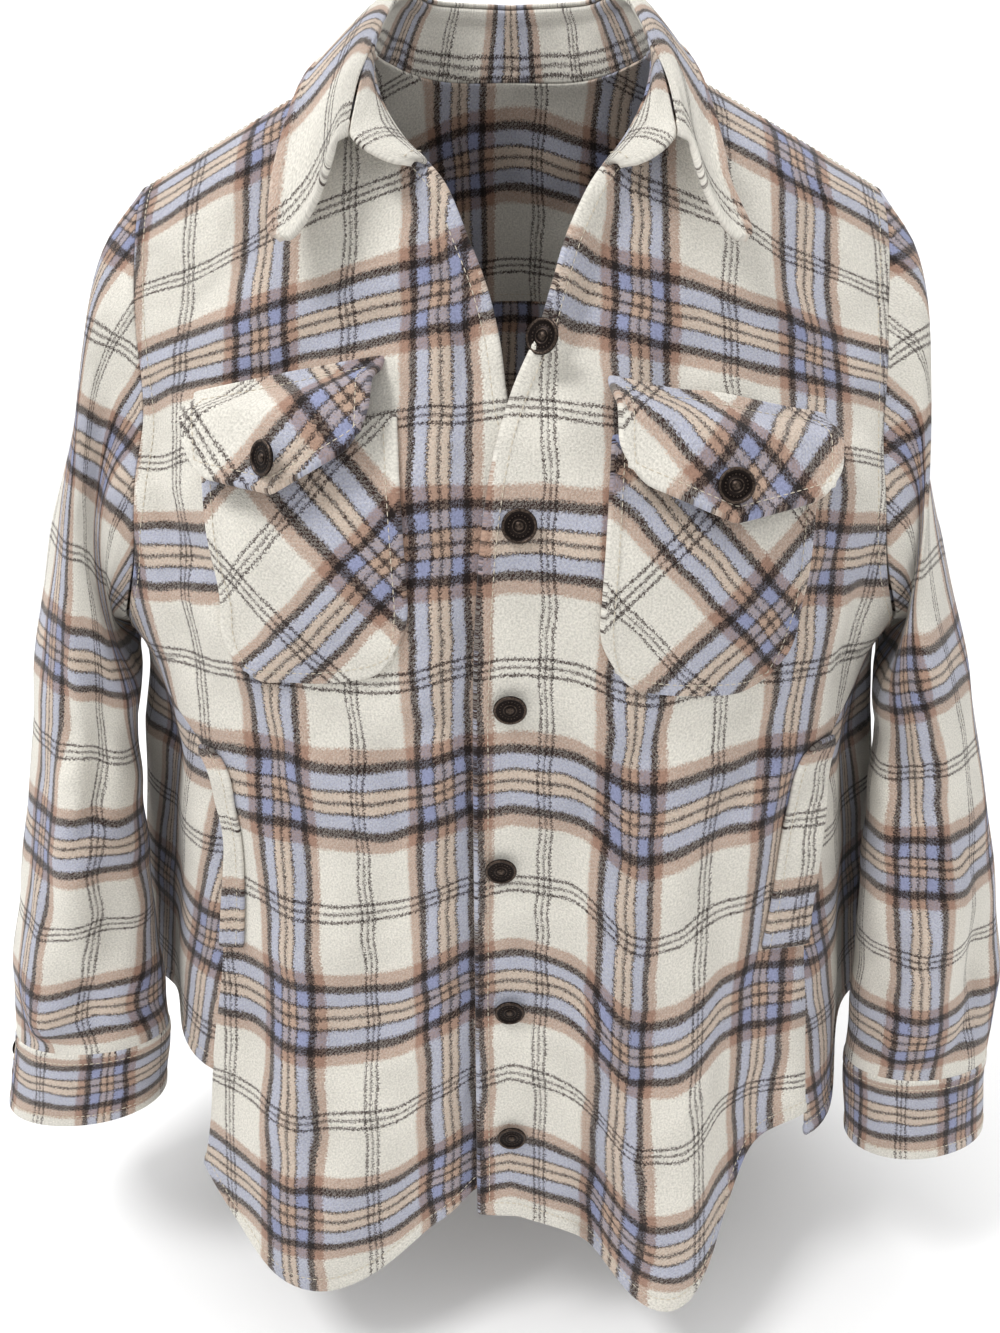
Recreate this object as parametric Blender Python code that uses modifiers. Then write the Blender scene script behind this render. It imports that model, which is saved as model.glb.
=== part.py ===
"""A shacket, a brushed-cotton overshirt, in the hollow shape that it has when worn.

Each cut piece is an open surface laid on one torso form or one sleeve form, and a Solidify
modifier gives it the cloth's thickness. The forms are short tables of sections, with a smooth
curve through their rows. Metres, +Z up. The wearer faces -Y, so the wearer's left is +X. The
origin is the middle of the neck opening, level with the inner ends of the shoulders.
"""

import bisect
import math
from collections import namedtuple

import bpy
from mathutils import Matrix, Vector

# Driving dimensions
WALL = 0.002
SEAM_GAP = 0.0003
FRONT_LAP = 0.018
RING_POWER = 2.3
SHOULDER_BLEND = 0.030
NECK_HALF_WIDTH = 0.070
NECK_BACK_REACH = 0.058
YOKE_FRONT_DOWN = 0.012
YOKE_BACK_HEIGHT = -0.100
UNDERARM_DOWN = 0.376
ARMHOLE_TOP_X = 0.193
ARMHOLE_WIDENING = 0.033
SHOULDER_SEAM_GAP = 0.0006
SIDE_SEAM_DEGREES = 0.14
SEAM_COMMON_DOWN = 0.620
STAND_END_DOWN = 0.112
NOTCH = 15 / 17
SLEEVE_LEAN = 0.42
FOREARM_TILT = 0.34
BUTTON_DIAMETER = 0.017
BUTTON_DROOP_DEGREES = 10.0

# Grid sizes, as cells along and across each piece
FRONT_CELLS = (13, 28)
BACK_CELLS = (26, 20)
YOKE_CELLS = (24, 6)
SLEEVE_CELLS = (22, 19)
SLEEVE_COLUMN_DEGREES = 360 / SLEEVE_CELLS[0]
CUFF_LAP_COLUMNS = 2
CUFF_CELLS = (SLEEVE_CELLS[0] + CUFF_LAP_COLUMNS, 2)
STAND_CELLS = (34, 2)
ARMHOLE_ROWS_FRONT = 15
ARMHOLE_ROWS_BACK = 7
LEAF_CELLS = (30, 5)
POCKET_CELLS = (6, 7)
FLAP_CELLS = (8, 3)
WELT_CELLS = (2, 5)

# The torso form. "down" is the distance from the shoulder ridge along the centre front, height
# is on the centre line, and slope lowers the ring towards the shoulder tips.
Section = namedtuple("Section", "down height slope half_width side_y front_y back_y")
TORSO = (
    Section(0.000, 0.040, 0.51, 0.2620, 0.000, 0.000, 0.000),
    Section(0.020, 0.037, 0.51, 0.2620, 0.000, -0.020, 0.020),
    Section(0.041, 0.027, 0.50, 0.2620, 0.000, -0.038, 0.038),
    Section(0.068, 0.006, 0.47, 0.2620, 0.000, -0.054, 0.056),
    Section(0.107, -0.030, 0.40, 0.2620, 0.000, -0.067, 0.074),
    Section(0.154, -0.074, 0.31, 0.2620, 0.000, -0.080, 0.092),
    Section(0.206, -0.122, 0.22, 0.2620, 0.000, -0.095, 0.108),
    Section(0.256, -0.166, 0.15, 0.2580, 0.000, -0.117, 0.118),
    Section(0.298, -0.206, 0.10, 0.2480, 0.000, -0.130, 0.124),
    Section(0.343, -0.250, 0.05, 0.2370, 0.000, -0.134, 0.127),
    Section(0.376, -0.283, 0.02, 0.2260, 0.000, -0.133, 0.128),
    Section(0.400, -0.307, 0.00, 0.2290, 0.006, -0.132, 0.128),
    Section(0.430, -0.337, 0.00, 0.2370, 0.018, -0.132, 0.129),
    Section(0.463, -0.370, 0.00, 0.2450, 0.028, -0.131, 0.130),
    Section(0.513, -0.420, 0.00, 0.2530, 0.036, -0.130, 0.132),
    Section(0.563, -0.470, 0.00, 0.2590, 0.042, -0.131, 0.136),
    Section(0.613, -0.520, 0.00, 0.2630, 0.046, -0.133, 0.141),
    Section(0.663, -0.570, 0.00, 0.2650, 0.048, -0.137, 0.146),
    Section(0.709, -0.615, 0.00, 0.2670, 0.050, -0.141, 0.150),
    Section(0.795, -0.700, 0.00, 0.2710, 0.050, -0.148, 0.156),
)

# The side seam, as degrees round from the centre front: it starts under the arm and swings
# forward, as a wide body does when the sleeves hang over it.
SeamRow = namedtuple("SeamRow", "down left right")
SIDE_SEAM = (
    SeamRow(0.376, 90.0, 90.0),
    SeamRow(0.400, 67.0, 62.0),
    SeamRow(0.424, 50.0, 44.0),
    SeamRow(0.463, 45.0, 39.5),
    SeamRow(0.513, 42.0, 38.5),
    SeamRow(0.563, 40.0, 38.5),
    SeamRow(0.613, 40.5, 39.5),
    SeamRow(0.686, 41.0, 41.0),
    SeamRow(0.738, 43.0, 43.5),
)

# How far each front's inner edge lies from the centre line, on its own side: the neckline, the
# open V and the lap.
EdgeRow = namedtuple("EdgeRow", "down left right")
FRONT_EDGES = (
    EdgeRow(0.012, 0.0700, 0.0700),
    EdgeRow(0.041, 0.0690, 0.0690),
    EdgeRow(0.068, 0.0640, 0.0640),
    EdgeRow(0.092, 0.0550, 0.0540),
    EdgeRow(0.112, 0.0440, 0.0410),
    EdgeRow(0.128, 0.0360, 0.0320),
    EdgeRow(0.154, 0.0260, 0.0225),
    EdgeRow(0.180, 0.0190, 0.0135),
    EdgeRow(0.206, 0.0120, 0.0075),
    EdgeRow(0.235, 0.0000, 0.0035),
    EdgeRow(0.270, -0.0090, -0.0060),
    EdgeRow(0.320, -0.0150, -0.0150),
    EdgeRow(0.400, -FRONT_LAP, -FRONT_LAP),
    EdgeRow(0.795, -FRONT_LAP, -FRONT_LAP),
)

# The hem's height round the body, a curved shirt-tail that is highest beside the side seams
HemRow = namedtuple("HemRow", "turn left right")
FRONT_HEM = (
    HemRow(0, -0.622, -0.594),
    HemRow(6, -0.640, -0.628),
    HemRow(13, -0.676, -0.656),
    HemRow(19, -0.672, -0.668),
    HemRow(25, -0.634, -0.666),
    HemRow(31, -0.604, -0.656),
    HemRow(37, -0.586, -0.642),
    HemRow(44, -0.580, -0.618),
)
BACK_HEM = (
    HemRow(38, -0.600, -0.548),
    HemRow(50, -0.598, -0.545),
    HemRow(58, -0.575, -0.543),
    HemRow(67, -0.560, -0.545),
    HemRow(78, -0.566, -0.556),
    HemRow(95, -0.604, -0.600),
    HemRow(135, -0.675, -0.675),
    HemRow(180, -0.700, -0.700),
)

# The largest folds of the torso. A positive depth stands out. Turns are degrees, + to the
# wearer's left, and each fold grows from start to full and dies away by end.
Fold = namedtuple("Fold", "turn_top turn_bottom start full end half_width depth")
TORSO_FOLDS = (
    Fold(15, 18, 0.560, 0.740, 1.400, 7.0, 0.026),
    Fold(11, 9.5, 0.540, 0.700, 1.400, 3.0, -0.011),
    Fold(31, 33, 0.560, 0.700, 1.400, 5.0, -0.010),
    Fold(-20, -23, 0.560, 0.740, 1.400, 10.0, 0.024),
    Fold(-9, -8, 0.600, 0.720, 1.400, 4.0, -0.006),
    Fold(43, 43, 0.500, 0.740, 1.400, 17.0, 0.010),
    Fold(-43, -43, 0.500, 0.720, 1.400, 17.0, 0.012),
    Fold(74, 64, 0.350, 0.450, 1.400, 15.0, -0.021),
    Fold(-74, -64, 0.350, 0.450, 1.400, 15.0, -0.021),
    Fold(-51, -52, 0.140, 0.240, 0.360, 4.5, -0.006),
    Fold(118, 122, 0.450, 0.650, 1.400, 7.0, -0.010),
    Fold(138, 142, 0.330, 0.600, 1.400, 8.0, 0.011),
    Fold(160, 158, 0.400, 0.640, 1.400, 7.0, -0.009),
    Fold(178, 176, 0.300, 0.560, 1.400, 8.0, 0.010),
    Fold(-162, -164, 0.380, 0.620, 1.400, 7.0, -0.010),
    Fold(-141, -145, 0.350, 0.600, 1.400, 8.0, 0.012),
    Fold(-119, -121, 0.450, 0.640, 1.400, 7.0, -0.009),
    Fold(88, 92, 0.520, 0.660, 1.400, 8.0, 0.006),
    Fold(-90, -93, 0.520, 0.660, 1.400, 8.0, 0.006),
)

# The sleeve, for the wearer's left: its outer and inner lines, its middle's y and half its depth
SleeveRow = namedtuple("SleeveRow", "along outer_x outer_z inner_x inner_z y half_depth")
SLEEVE = (
    SleeveRow(0.00, 0.1930, -0.0460, 0.2270, -0.2820, 0.000, 0.0850),
    SleeveRow(0.04, 0.2150, -0.0720, 0.2330, -0.2800, -0.002, 0.0820),
    SleeveRow(0.11, 0.2290, -0.1130, 0.2330, -0.2860, -0.006, 0.0780),
    SleeveRow(0.18, 0.2410, -0.1560, 0.2320, -0.2980, -0.012, 0.0740),
    SleeveRow(0.26, 0.2590, -0.2020, 0.2310, -0.3170, -0.020, 0.0690),
    SleeveRow(0.35, 0.2740, -0.2520, 0.2320, -0.3370, -0.027, 0.0650),
    SleeveRow(0.45, 0.2850, -0.3050, 0.2320, -0.3640, -0.033, 0.0620),
    SleeveRow(0.58, 0.2960, -0.3700, 0.2310, -0.4020, -0.039, 0.0590),
    SleeveRow(0.69, 0.3070, -0.4260, 0.2305, -0.4400, -0.045, 0.0570),
    SleeveRow(0.81, 0.3190, -0.4820, 0.2295, -0.4840, -0.050, 0.0540),
    SleeveRow(0.92, 0.3260, -0.5290, 0.2275, -0.5230, -0.055, 0.0510),
    SleeveRow(1.00, 0.3270, -0.5560, 0.2265, -0.5480, -0.059, 0.0470),
    SleeveRow(1.12, 0.3380, -0.6110, 0.2320, -0.5920, -0.064, 0.0460),
)
SLEEVE_END = 1.0
CUFF_END = 1.12
# How much further out and up the wearer's left sleeve hangs than the right one
ShiftRow = namedtuple("ShiftRow", "along outer inner outer_up inner_up")
LEFT_SLEEVE_SHIFT = (
    ShiftRow(0.00, 0.000, 0.000, 0.000, 0.000),
    ShiftRow(0.06, -0.003, 0.000, 0.000, 0.000),
    ShiftRow(0.17, -0.013, 0.000, 0.000, 0.000),
    ShiftRow(0.30, -0.017, -0.003, 0.000, 0.000),
    ShiftRow(0.45, -0.010, -0.005, -0.002, -0.002),
    ShiftRow(0.60, -0.002, -0.005, -0.006, -0.006),
    ShiftRow(0.78, 0.000, -0.003, -0.010, -0.012),
    ShiftRow(0.92, -0.004, 0.000, -0.014, -0.018),
    ShiftRow(1.12, -0.014, 0.000, -0.018, -0.038),
)

# The sleeves' largest folds: degrees round from the top line towards the front, and the slant
# in degrees for each unit along
SleeveFold = namedtuple("SleeveFold", "turn slant along length half_width depth")
SLEEVE_FOLDS = {
    1: (
        SleeveFold(62, 60, 0.36, 0.18, 22, 0.009),
        SleeveFold(105, -40, 0.50, 0.16, 20, -0.008),
        SleeveFold(70, 30, 0.66, 0.17, 18, 0.008),
        SleeveFold(48, -20, 0.82, 0.14, 17, -0.008),
        SleeveFold(95, 20, 0.84, 0.15, 20, 0.007),
        SleeveFold(150, 30, 0.24, 0.14, 24, 0.007),
        SleeveFold(250, 40, 0.46, 0.20, 24, 0.008),
        SleeveFold(290, -40, 0.66, 0.20, 22, -0.007),
        SleeveFold(235, 20, 0.80, 0.16, 20, 0.007),
    ),
    -1: (
        SleeveFold(55, 40, 0.30, 0.18, 20, 0.008),
        SleeveFold(100, -30, 0.44, 0.16, 20, -0.008),
        SleeveFold(74, 10, 0.62, 0.20, 18, 0.008),
        SleeveFold(110, -20, 0.74, 0.16, 20, -0.007),
        SleeveFold(60, 30, 0.86, 0.14, 20, 0.008),
        SleeveFold(148, 30, 0.22, 0.14, 24, 0.007),
        SleeveFold(248, 30, 0.42, 0.20, 24, 0.008),
        SleeveFold(288, -30, 0.60, 0.20, 22, -0.008),
        SleeveFold(238, 20, 0.82, 0.16, 20, 0.007),
    ),
}

# The collar, for the wearer's left: "way" runs from the centre back, 0, to the front end, 1.
# The fold is the stand's top, where the leaf turns over, and the edge is the leaf's outer edge.
CollarRow = namedtuple("CollarRow", "way fold_x fold_y fold_z edge_x edge_y edge_z")
COLLAR = (
    CollarRow(0.00, 0.0000, 0.0480, 0.0480, 0.0000, 0.0960, -0.0120),
    CollarRow(0.25, 0.0400, 0.0350, 0.0470, 0.0720, 0.0720, -0.0040),
    CollarRow(0.50, 0.0575, -0.0010, 0.0430, 0.0960, 0.0000, 0.0110),
    CollarRow(0.65, 0.0640, -0.0330, 0.0230, 0.1020, -0.0420, -0.0040),
    CollarRow(0.78, 0.0700, -0.0590, -0.0030, 0.1080, -0.0740, -0.0400),
    CollarRow(NOTCH, 0.0750, -0.0770, -0.0300, 0.1050, -0.0960, -0.0740),
)
COLLAR_LEFT_PULL = 0.013

# Chest pockets and flaps, as corners in the front view: x from the centre line on the
# piece's own side, and height
Corner = namedtuple("Corner", "x z")
CHEST_POCKETS = {
    1: (Corner(0.0480, -0.165), Corner(0.1480, -0.178), Corner(0.1420, -0.290), Corner(0.0420, -0.280)),
    -1: (Corner(0.0560, -0.156), Corner(0.1510, -0.176), Corner(0.1440, -0.286), Corner(0.0500, -0.272)),
}
POCKET_FLAPS = {
    1: (Corner(0.0470, -0.139), Corner(0.1530, -0.158), Corner(0.1510, -0.193), Corner(0.0490, -0.182)),
    -1: (Corner(0.0630, -0.130), Corner(0.1560, -0.148), Corner(0.1490, -0.185), Corner(0.0660, -0.168)),
}
FLAP_POINT_DROP = 0.016
POCKET_CORNER_CUT = 0.22
FLAP_STAND_OFF = 0.008
POCKET_POUCH = 0.004

# Side pocket welts: the stretch of side seam that each lies beside, and its width there
WELT_TOP_DOWN = 0.424
WELT_BOTTOM_DOWN = 0.552
WELT_WIDTHS = {1: 0.024, -1: 0.010}

# Buttons down the left front: height, and x of the middle
ButtonRow = namedtuple("ButtonRow", "x z")
FRONT_BUTTONS = (
    ButtonRow(0.0150, -0.123),
    ButtonRow(0.0030, -0.203),
    ButtonRow(-0.0010, -0.294),
    ButtonRow(-0.0055, -0.388),
    ButtonRow(-0.0005, -0.480),
    ButtonRow(0.0010, -0.566),
)
FLAP_BUTTONS = {1: ButtonRow(0.0990, -0.190), -1: ButtonRow(0.1080, -0.180)}

# The sleeve column at which each cuff's lap starts, round from the outer line by the front
CUFF_LAP_STARTS = {1: 14, -1: 19}
CUFF_SEAM_ALONG = 0.0012
RightSide, LeftSide = -1, 1

CLOTH_IVORY = (0.79, 0.76, 0.68)
CLOTH_TAN = (0.56, 0.37, 0.27)
CLOTH_BLUE = (0.47, 0.50, 0.68)
BUTTON_BRONZE = (0.045, 0.035, 0.028)


def row_at(rows, key):
    """The table's row at a value of its first column, on a smooth curve through its rows."""
    keys = [row[0] for row in rows]
    key = min(max(key, keys[0]), keys[-1])
    low = min(max(bisect.bisect_right(keys, key) - 1, 0), len(rows) - 2)
    before, after = max(low - 1, 0), min(low + 2, len(rows) - 1)
    span = keys[low + 1] - keys[low]
    t = (key - keys[low]) / span
    values = []
    for column in range(len(rows[0])):
        first, last = rows[low][column], rows[low + 1][column]
        first_slope = (last - rows[before][column]) / (keys[low + 1] - keys[before]) * span
        last_slope = (rows[after][column] - first) / (keys[after] - keys[low]) * span
        values.append(
            (2 * t**3 - 3 * t**2 + 1) * first
            + (t**3 - 2 * t**2 + t) * first_slope
            + (3 * t**2 - 2 * t**3) * last
            + (t**3 - t**2) * last_slope
        )
    return type(rows[0])(*values)


def mix(first, last, share):
    return first + (last - first) * share


def ease(low, high, value):
    """0 up to low and 1 past high, with a smooth rise between them."""
    t = min(max((value - low) / (high - low), 0.0), 1.0)
    return t * t * (3 - 2 * t)


def find(function, target, low, high):
    """Where a falling function meets the target, between low and high."""
    for _ in range(34):
        middle = (low + high) / 2
        if function(middle) > target:
            low = middle
        else:
            high = middle
    return (low + high) / 2


# The torso form


def shoulder_reach(x):
    """The distance from the centre line that the shoulder's slope acts on, rounded at the middle."""
    return math.sqrt(x * x + SHOULDER_BLEND**2) - SHOULDER_BLEND


def height_at(x, down):
    section = row_at(TORSO, down)
    return section.height - section.slope * shoulder_reach(x)


def down_at(x, height):
    return find(lambda down: height_at(x, down), height, TORSO[0].down, TORSO[-1].down)


def turn_at(x, down):
    """Degrees round from the centre front of the point with this x, on the front side."""
    across = min(abs(x) / row_at(TORSO, down).half_width, 1.0) ** (RING_POWER / 2)
    return math.copysign(math.degrees(math.asin(across)), x)


def bare_torso(turn, down):
    section = row_at(TORSO, down)
    angle = math.radians(turn)
    across = math.copysign(abs(math.sin(angle)) ** (2 / RING_POWER), math.sin(angle))
    deep = abs(math.cos(angle)) ** (2 / RING_POWER)
    x = section.half_width * across
    y = mix(section.side_y, section.front_y if math.cos(angle) > 0 else section.back_y, deep)
    return Vector((x, y, section.height - section.slope * shoulder_reach(x)))


def torso_normal(turn, down):
    step_turn, step_down = 0.5, 0.002
    low, high = max(down - step_down, 0.0005), down + step_down
    round_it = bare_torso(turn + step_turn, down) - bare_torso(turn - step_turn, down)
    along = bare_torso(turn, high) - bare_torso(turn, low)
    return along.cross(round_it).normalized()


def fold_height(turn, down):
    total = 0.0
    for fold in TORSO_FOLDS:
        if not fold.start < down < fold.end:
            continue
        share = min((down - fold.start) / (fold.full - fold.start), 1.0)
        middle = mix(fold.turn_top, fold.turn_bottom, share)
        away = (turn - middle + 180) % 360 - 180
        grown = ease(fold.start, fold.full, down) * (1 - ease(fold.full, fold.end, down))
        total += fold.depth * grown * math.exp(-((away / fold.half_width) ** 2))
    return total


def torso_point(turn, down, lift=0.0):
    """A point of the torso form, moved out by its folds and by lift."""
    return bare_torso(turn, down) + torso_normal(turn, down) * (fold_height(turn, down) + lift)


def armhole_x(down):
    return ARMHOLE_TOP_X + ARMHOLE_WIDENING * min(down / UNDERARM_DOWN, 1.0) ** 8


def outer_turn(side, down, pull_in):
    """Degrees of the fronts' outer edge: the armhole, and below it the side seam."""
    if down < UNDERARM_DOWN:
        return turn_at(armhole_x(down) - pull_in, down)
    return seam_turn(side, down) - SIDE_SEAM_DEGREES


def seam_turn(side, down):
    row = row_at(SIDE_SEAM, down)
    return row.left if side == LeftSide else row.right


def edge_down(top, hem, row, armhole_rows, rows):
    """How far down a row meets the outer edge of a front or the back.

    Both pieces have the same rows in the upper part of the side seam that they share.
    """
    if row <= armhole_rows:
        return mix(top, UNDERARM_DOWN, 1 - (1 - row / armhole_rows) ** 1.4)
    share = (row - armhole_rows) / (rows - armhole_rows)
    return mix(UNDERARM_DOWN, SEAM_COMMON_DOWN, share) + (hem - SEAM_COMMON_DOWN) * share**4


def hem_down(turn, rows):
    away = (turn + 180) % 360 - 180
    row = row_at(rows, abs(away))
    height = row.left if away > 0 else row.right
    return find(lambda down: row_at(TORSO, down).height, height, 0.5, TORSO[-1].down)


# Making objects


def make_material(name, colour, roughness, metallic=0.0):
    material = bpy.data.materials.new(name)
    material.use_nodes = True
    shader = material.node_tree.nodes["Principled BSDF"]
    shader.inputs["Base Color"].default_value = (*colour, 1.0)
    shader.inputs["Roughness"].default_value = roughness
    shader.inputs["Metallic"].default_value = metallic
    material.diffuse_color = (*colour, 1.0)
    return material


def make_object(name, mesh, material, collection):
    obj = bpy.data.objects.new(name, mesh)
    mesh.materials.append(material)
    mesh.shade_smooth()
    collection.objects.link(obj)
    return obj


def cloth_piece(name, point, cells, material, collection, round_it=False, thickness=WALL):
    """An open surface of cells, whose corners point(u, v) gives, with the cloth's thickness.

    Its faces point out where u runs to the wearer's left and v runs down on the front side.
    """
    across, down = cells
    columns = across if round_it else across + 1
    points = [point(i / across, j / down) for j in range(down + 1) for i in range(columns)]
    faces = []
    for j in range(down):
        for i in range(across):
            left, right = i, (i + 1) % columns
            low, high = j * columns, (j + 1) * columns
            faces.append((low + left, high + left, high + right, low + right))
    mesh = bpy.data.meshes.new(name)
    mesh.from_pydata(points, [], faces)
    obj = make_object(name, mesh, material, collection)
    wall = obj.modifiers.new("Cloth thickness", "SOLIDIFY")
    wall.thickness = thickness
    wall.offset = 0.0
    wall.use_even_offset = True
    wall.thickness_clamp = 1.0
    return obj


# Fronts, back and yoke


def under_lap(side, x, down):
    """How far the right front lies in under the left one, near the centre line."""
    if side == LeftSide:
        return 0.0
    near = ease(-0.042, -0.022, x)
    below = 0.003 * ease(0.50, 0.68, down)
    return -(WALL + 5 * SEAM_GAP + below) * near * ease(0.175, 0.215, down)


def edge_roll(side, from_edge, down):
    """How far a front's free edge in the V rolls out."""
    open_v = ease(0.100, 0.135, down) * (1 - ease(0.205, 0.245, down))
    return open_v * (0.009 if side == LeftSide else 0.005) * math.exp(-((from_edge / 0.013) ** 2))


def front_point(side):
    top = YOKE_FRONT_DOWN + SHOULDER_SEAM_GAP
    rows = FRONT_CELLS[1]

    def point(u, v):
        across = 1 - u if side == RightSide else u
        edge_turn = 1.0
        for _ in range(3):
            hem = hem_down(side * max(edge_turn, 0.5), FRONT_HEM)
            outer_down = edge_down(top, hem, v * rows, ARMHOLE_ROWS_FRONT, rows)
            down = mix(mix(top, hem, v**1.2), outer_down, across)
            row = row_at(FRONT_EDGES, down)
            edge_x = row.left if side == LeftSide else row.right
            outer = outer_turn(side, down, SEAM_GAP * 2)
            edge_turn = mix(turn_at(edge_x, down), outer, across)
        turn = side * edge_turn
        x = bare_torso(turn, down).x
        lift = under_lap(side, x, down) + edge_roll(side, abs(x) - edge_x, down)
        return torso_point(turn, down, lift)

    return point


def yoke_back_down(x):
    return down_at(x, YOKE_BACK_HEIGHT)


def back_point(u, v):
    """The back, from one side round to the other: u runs from the left side to the right one."""
    across = 1 - 2 * u
    side = LeftSide if across > 0 else RightSide
    far = abs(across)
    hem_turn = 180 - far * (180 - seam_turn(side, SEAM_COMMON_DOWN))
    hem = hem_down(side * hem_turn, BACK_HEM)
    top = yoke_back_down(far * ARMHOLE_TOP_X) + SHOULDER_SEAM_GAP
    rows = BACK_CELLS[1]
    down = mix(mix(top, hem, v), edge_down(top, hem, v * rows, ARMHOLE_ROWS_BACK, rows), far)
    if down < UNDERARM_DOWN:
        side_turn = 180 - turn_at(armhole_x(down) - SEAM_GAP * 2, down)
    else:
        side_turn = seam_turn(side, down) + SIDE_SEAM_DEGREES
    return torso_point(side * (180 - far * (180 - side_turn)), down)


def signed_point(x, over):
    """The torso form at x, at a distance over the shoulder ridge: minus in front, plus behind."""
    down = abs(over)
    turn = turn_at(x, down)
    if over > 0:
        turn = 180 - turn
    return torso_point(turn, down)


def neck_over(share):
    """(x, over) of the yoke's neckline, for a share of the way round the back of the neck."""
    angle = math.pi * share
    x = -NECK_HALF_WIDTH * math.cos(angle)
    reach = mix(-YOKE_FRONT_DOWN, NECK_BACK_REACH, math.sin(angle) ** 0.9)
    return x, reach


def yoke_point(u, v):
    shoulder = 0.30
    edge = ARMHOLE_TOP_X - SHOULDER_SEAM_GAP
    if u < shoulder:
        top_x, top_over = mix(-edge, -NECK_HALF_WIDTH, u / shoulder), -YOKE_FRONT_DOWN
    elif u > 1 - shoulder:
        top_x, top_over = mix(NECK_HALF_WIDTH, edge, (u - 1 + shoulder) / shoulder), -YOKE_FRONT_DOWN
    else:
        top_x, top_over = neck_over((u - shoulder) / (1 - 2 * shoulder))
    bottom_x = mix(-edge, edge, u)
    x = mix(top_x, bottom_x, v)
    over = mix(top_over, yoke_back_down(bottom_x), v)
    limit = armhole_x(abs(over)) - SHOULDER_SEAM_GAP
    if abs(x) > edge - 1e-6:
        x = math.copysign(limit, x)
    return signed_point(x, over)


# Sleeves and cuffs


def armhole_point(side, turn):
    """The armhole, by degrees from its top round by the front."""
    down = UNDERARM_DOWN * (1 - math.cos(math.radians(turn))) / 2
    x = armhole_x(down)
    around = turn_at(x, down)
    if turn % 360 > 180:
        around = 180 - around
    point = torso_point(around * side, down)
    low = max(-math.cos(math.radians(turn)), 0.0) ** 3
    return point + Vector((side * (3 * SEAM_GAP + 0.0030 * low), 0, 0.0040 * low))


def sleeve_ring(side, along, turn):
    """A plain ring of the sleeve, leaning in at the front, and turned up there at the forearm."""
    row = row_at(SLEEVE, along)
    shift = row_at(LEFT_SLEEVE_SHIFT, along if side == LeftSide else 0.0)
    outer = Vector((row.outer_x + shift.outer, row.y, row.outer_z + shift.outer_up))
    inner = Vector((row.inner_x + shift.inner, row.y, row.inner_z + shift.inner_up))
    angle = math.radians(turn)
    forward = row.half_depth * math.sin(angle)
    point = (outer + inner) / 2 + (outer - inner) / 2 * math.cos(angle)
    point.x -= SLEEVE_LEAN * ease(0.05, 0.35, along) * forward
    point.y -= forward
    point.z += FOREARM_TILT * ease(0.5, 1.0, along) * forward
    point.x *= side
    return point


def sleeve_fold_height(side, along, turn):
    total = 0.0
    for fold in SLEEVE_FOLDS[side]:
        offset = (along - fold.along) / fold.length
        if abs(offset) >= 1:
            continue
        away = (turn - fold.turn - fold.slant * (along - fold.along) + 180) % 360 - 180
        total += fold.depth * (1 - offset * offset) ** 2 * math.exp(-((away / fold.half_width) ** 2))
    return total


def sleeve_point(side, along, turn, lift=0.0):
    """A point of a sleeve: the armhole's own shape at its top, and plain rings below."""
    ring = sleeve_ring(side, along, turn)
    joined = 1 - ease(0.0, 0.22, along)
    if joined > 0:
        own_armhole = armhole_point(side, turn)
        ring += (own_armhole - sleeve_ring(side, 0.0, turn)) * joined
    row = row_at(SLEEVE, along)
    middle = Vector((side * (row.outer_x + row.inner_x) / 2, row.y, ring.z))
    out = (ring - middle).normalized()
    return ring + out * (sleeve_fold_height(side, along, turn) * (1 - joined) + lift)


def sleeve_surface(side):
    def point(u, v):
        turn = -side * 360 * u
        return sleeve_point(side, SLEEVE_END * v, turn % 360)

    return point


def cuff_surface(side):
    """A band that laps over its own end at the back of the wrist."""
    start = CUFF_LAP_STARTS[side] * SLEEVE_COLUMN_DEGREES
    sweep = CUFF_CELLS[0] * SLEEVE_COLUMN_DEGREES

    def point(u, v):
        share = 1 - u if side == LeftSide else u
        turn = start + sweep * share
        lift = 0.0032 * ease(0.82, 0.96, share)
        return sleeve_point(side, mix(SLEEVE_END + CUFF_SEAM_ALONG, CUFF_END, v), turn % 360, lift)

    return point


# Collar


def neckline_point(way):
    """The neck seam: way 0 is the centre back, 1 the left front end and -1 the right one."""
    side = LeftSide if way > 0 else RightSide
    far = abs(way)
    if far <= 0.5:
        x, over = neck_over(0.5 + way)
        return signed_point(x, over), torso_normal(turn_at(x, abs(over)), max(abs(over), 0.004))
    down = mix(YOKE_FRONT_DOWN, STAND_END_DOWN, (far - 0.5) * 2)
    row = row_at(FRONT_EDGES, down)
    turn = side * turn_at(row.left if side == LeftSide else row.right, down)
    return torso_point(turn, down), torso_normal(turn, down)


def stand_base(way):
    point, normal = neckline_point(way)
    flipped = ease(0.45, 0.9, abs(way))
    if abs(way) < 0.5:
        normal = mix(Vector((0, 0, 1)), normal, 0.5).normalized()
    return point + normal * mix(0.0018, 0.0046, flipped)


def fold_line(way):
    row = row_at(COLLAR, min(abs(way), NOTCH))
    return Vector((math.copysign(row.fold_x, way), row.fold_y, row.fold_z))


def stand_surface(u, v):
    way = mix(-1, 1, u)
    base = stand_base(way)
    top = fold_line(way)
    past_notch = max(abs(way) - NOTCH, 0.0) / (1 - NOTCH)
    if past_notch > 0:
        step = stand_base(math.copysign(abs(way), way)) - stand_base(math.copysign(NOTCH, way))
        top = top + step * 0.95
    height = 0.35 + 0.65 * math.sqrt(max(1 - past_notch**2.2, 0.0))
    bowed = Vector((0, 0, 0.003)) * math.sin(math.pi * v)
    return mix(base, top, (1 - v) * height) + bowed * height


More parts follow.
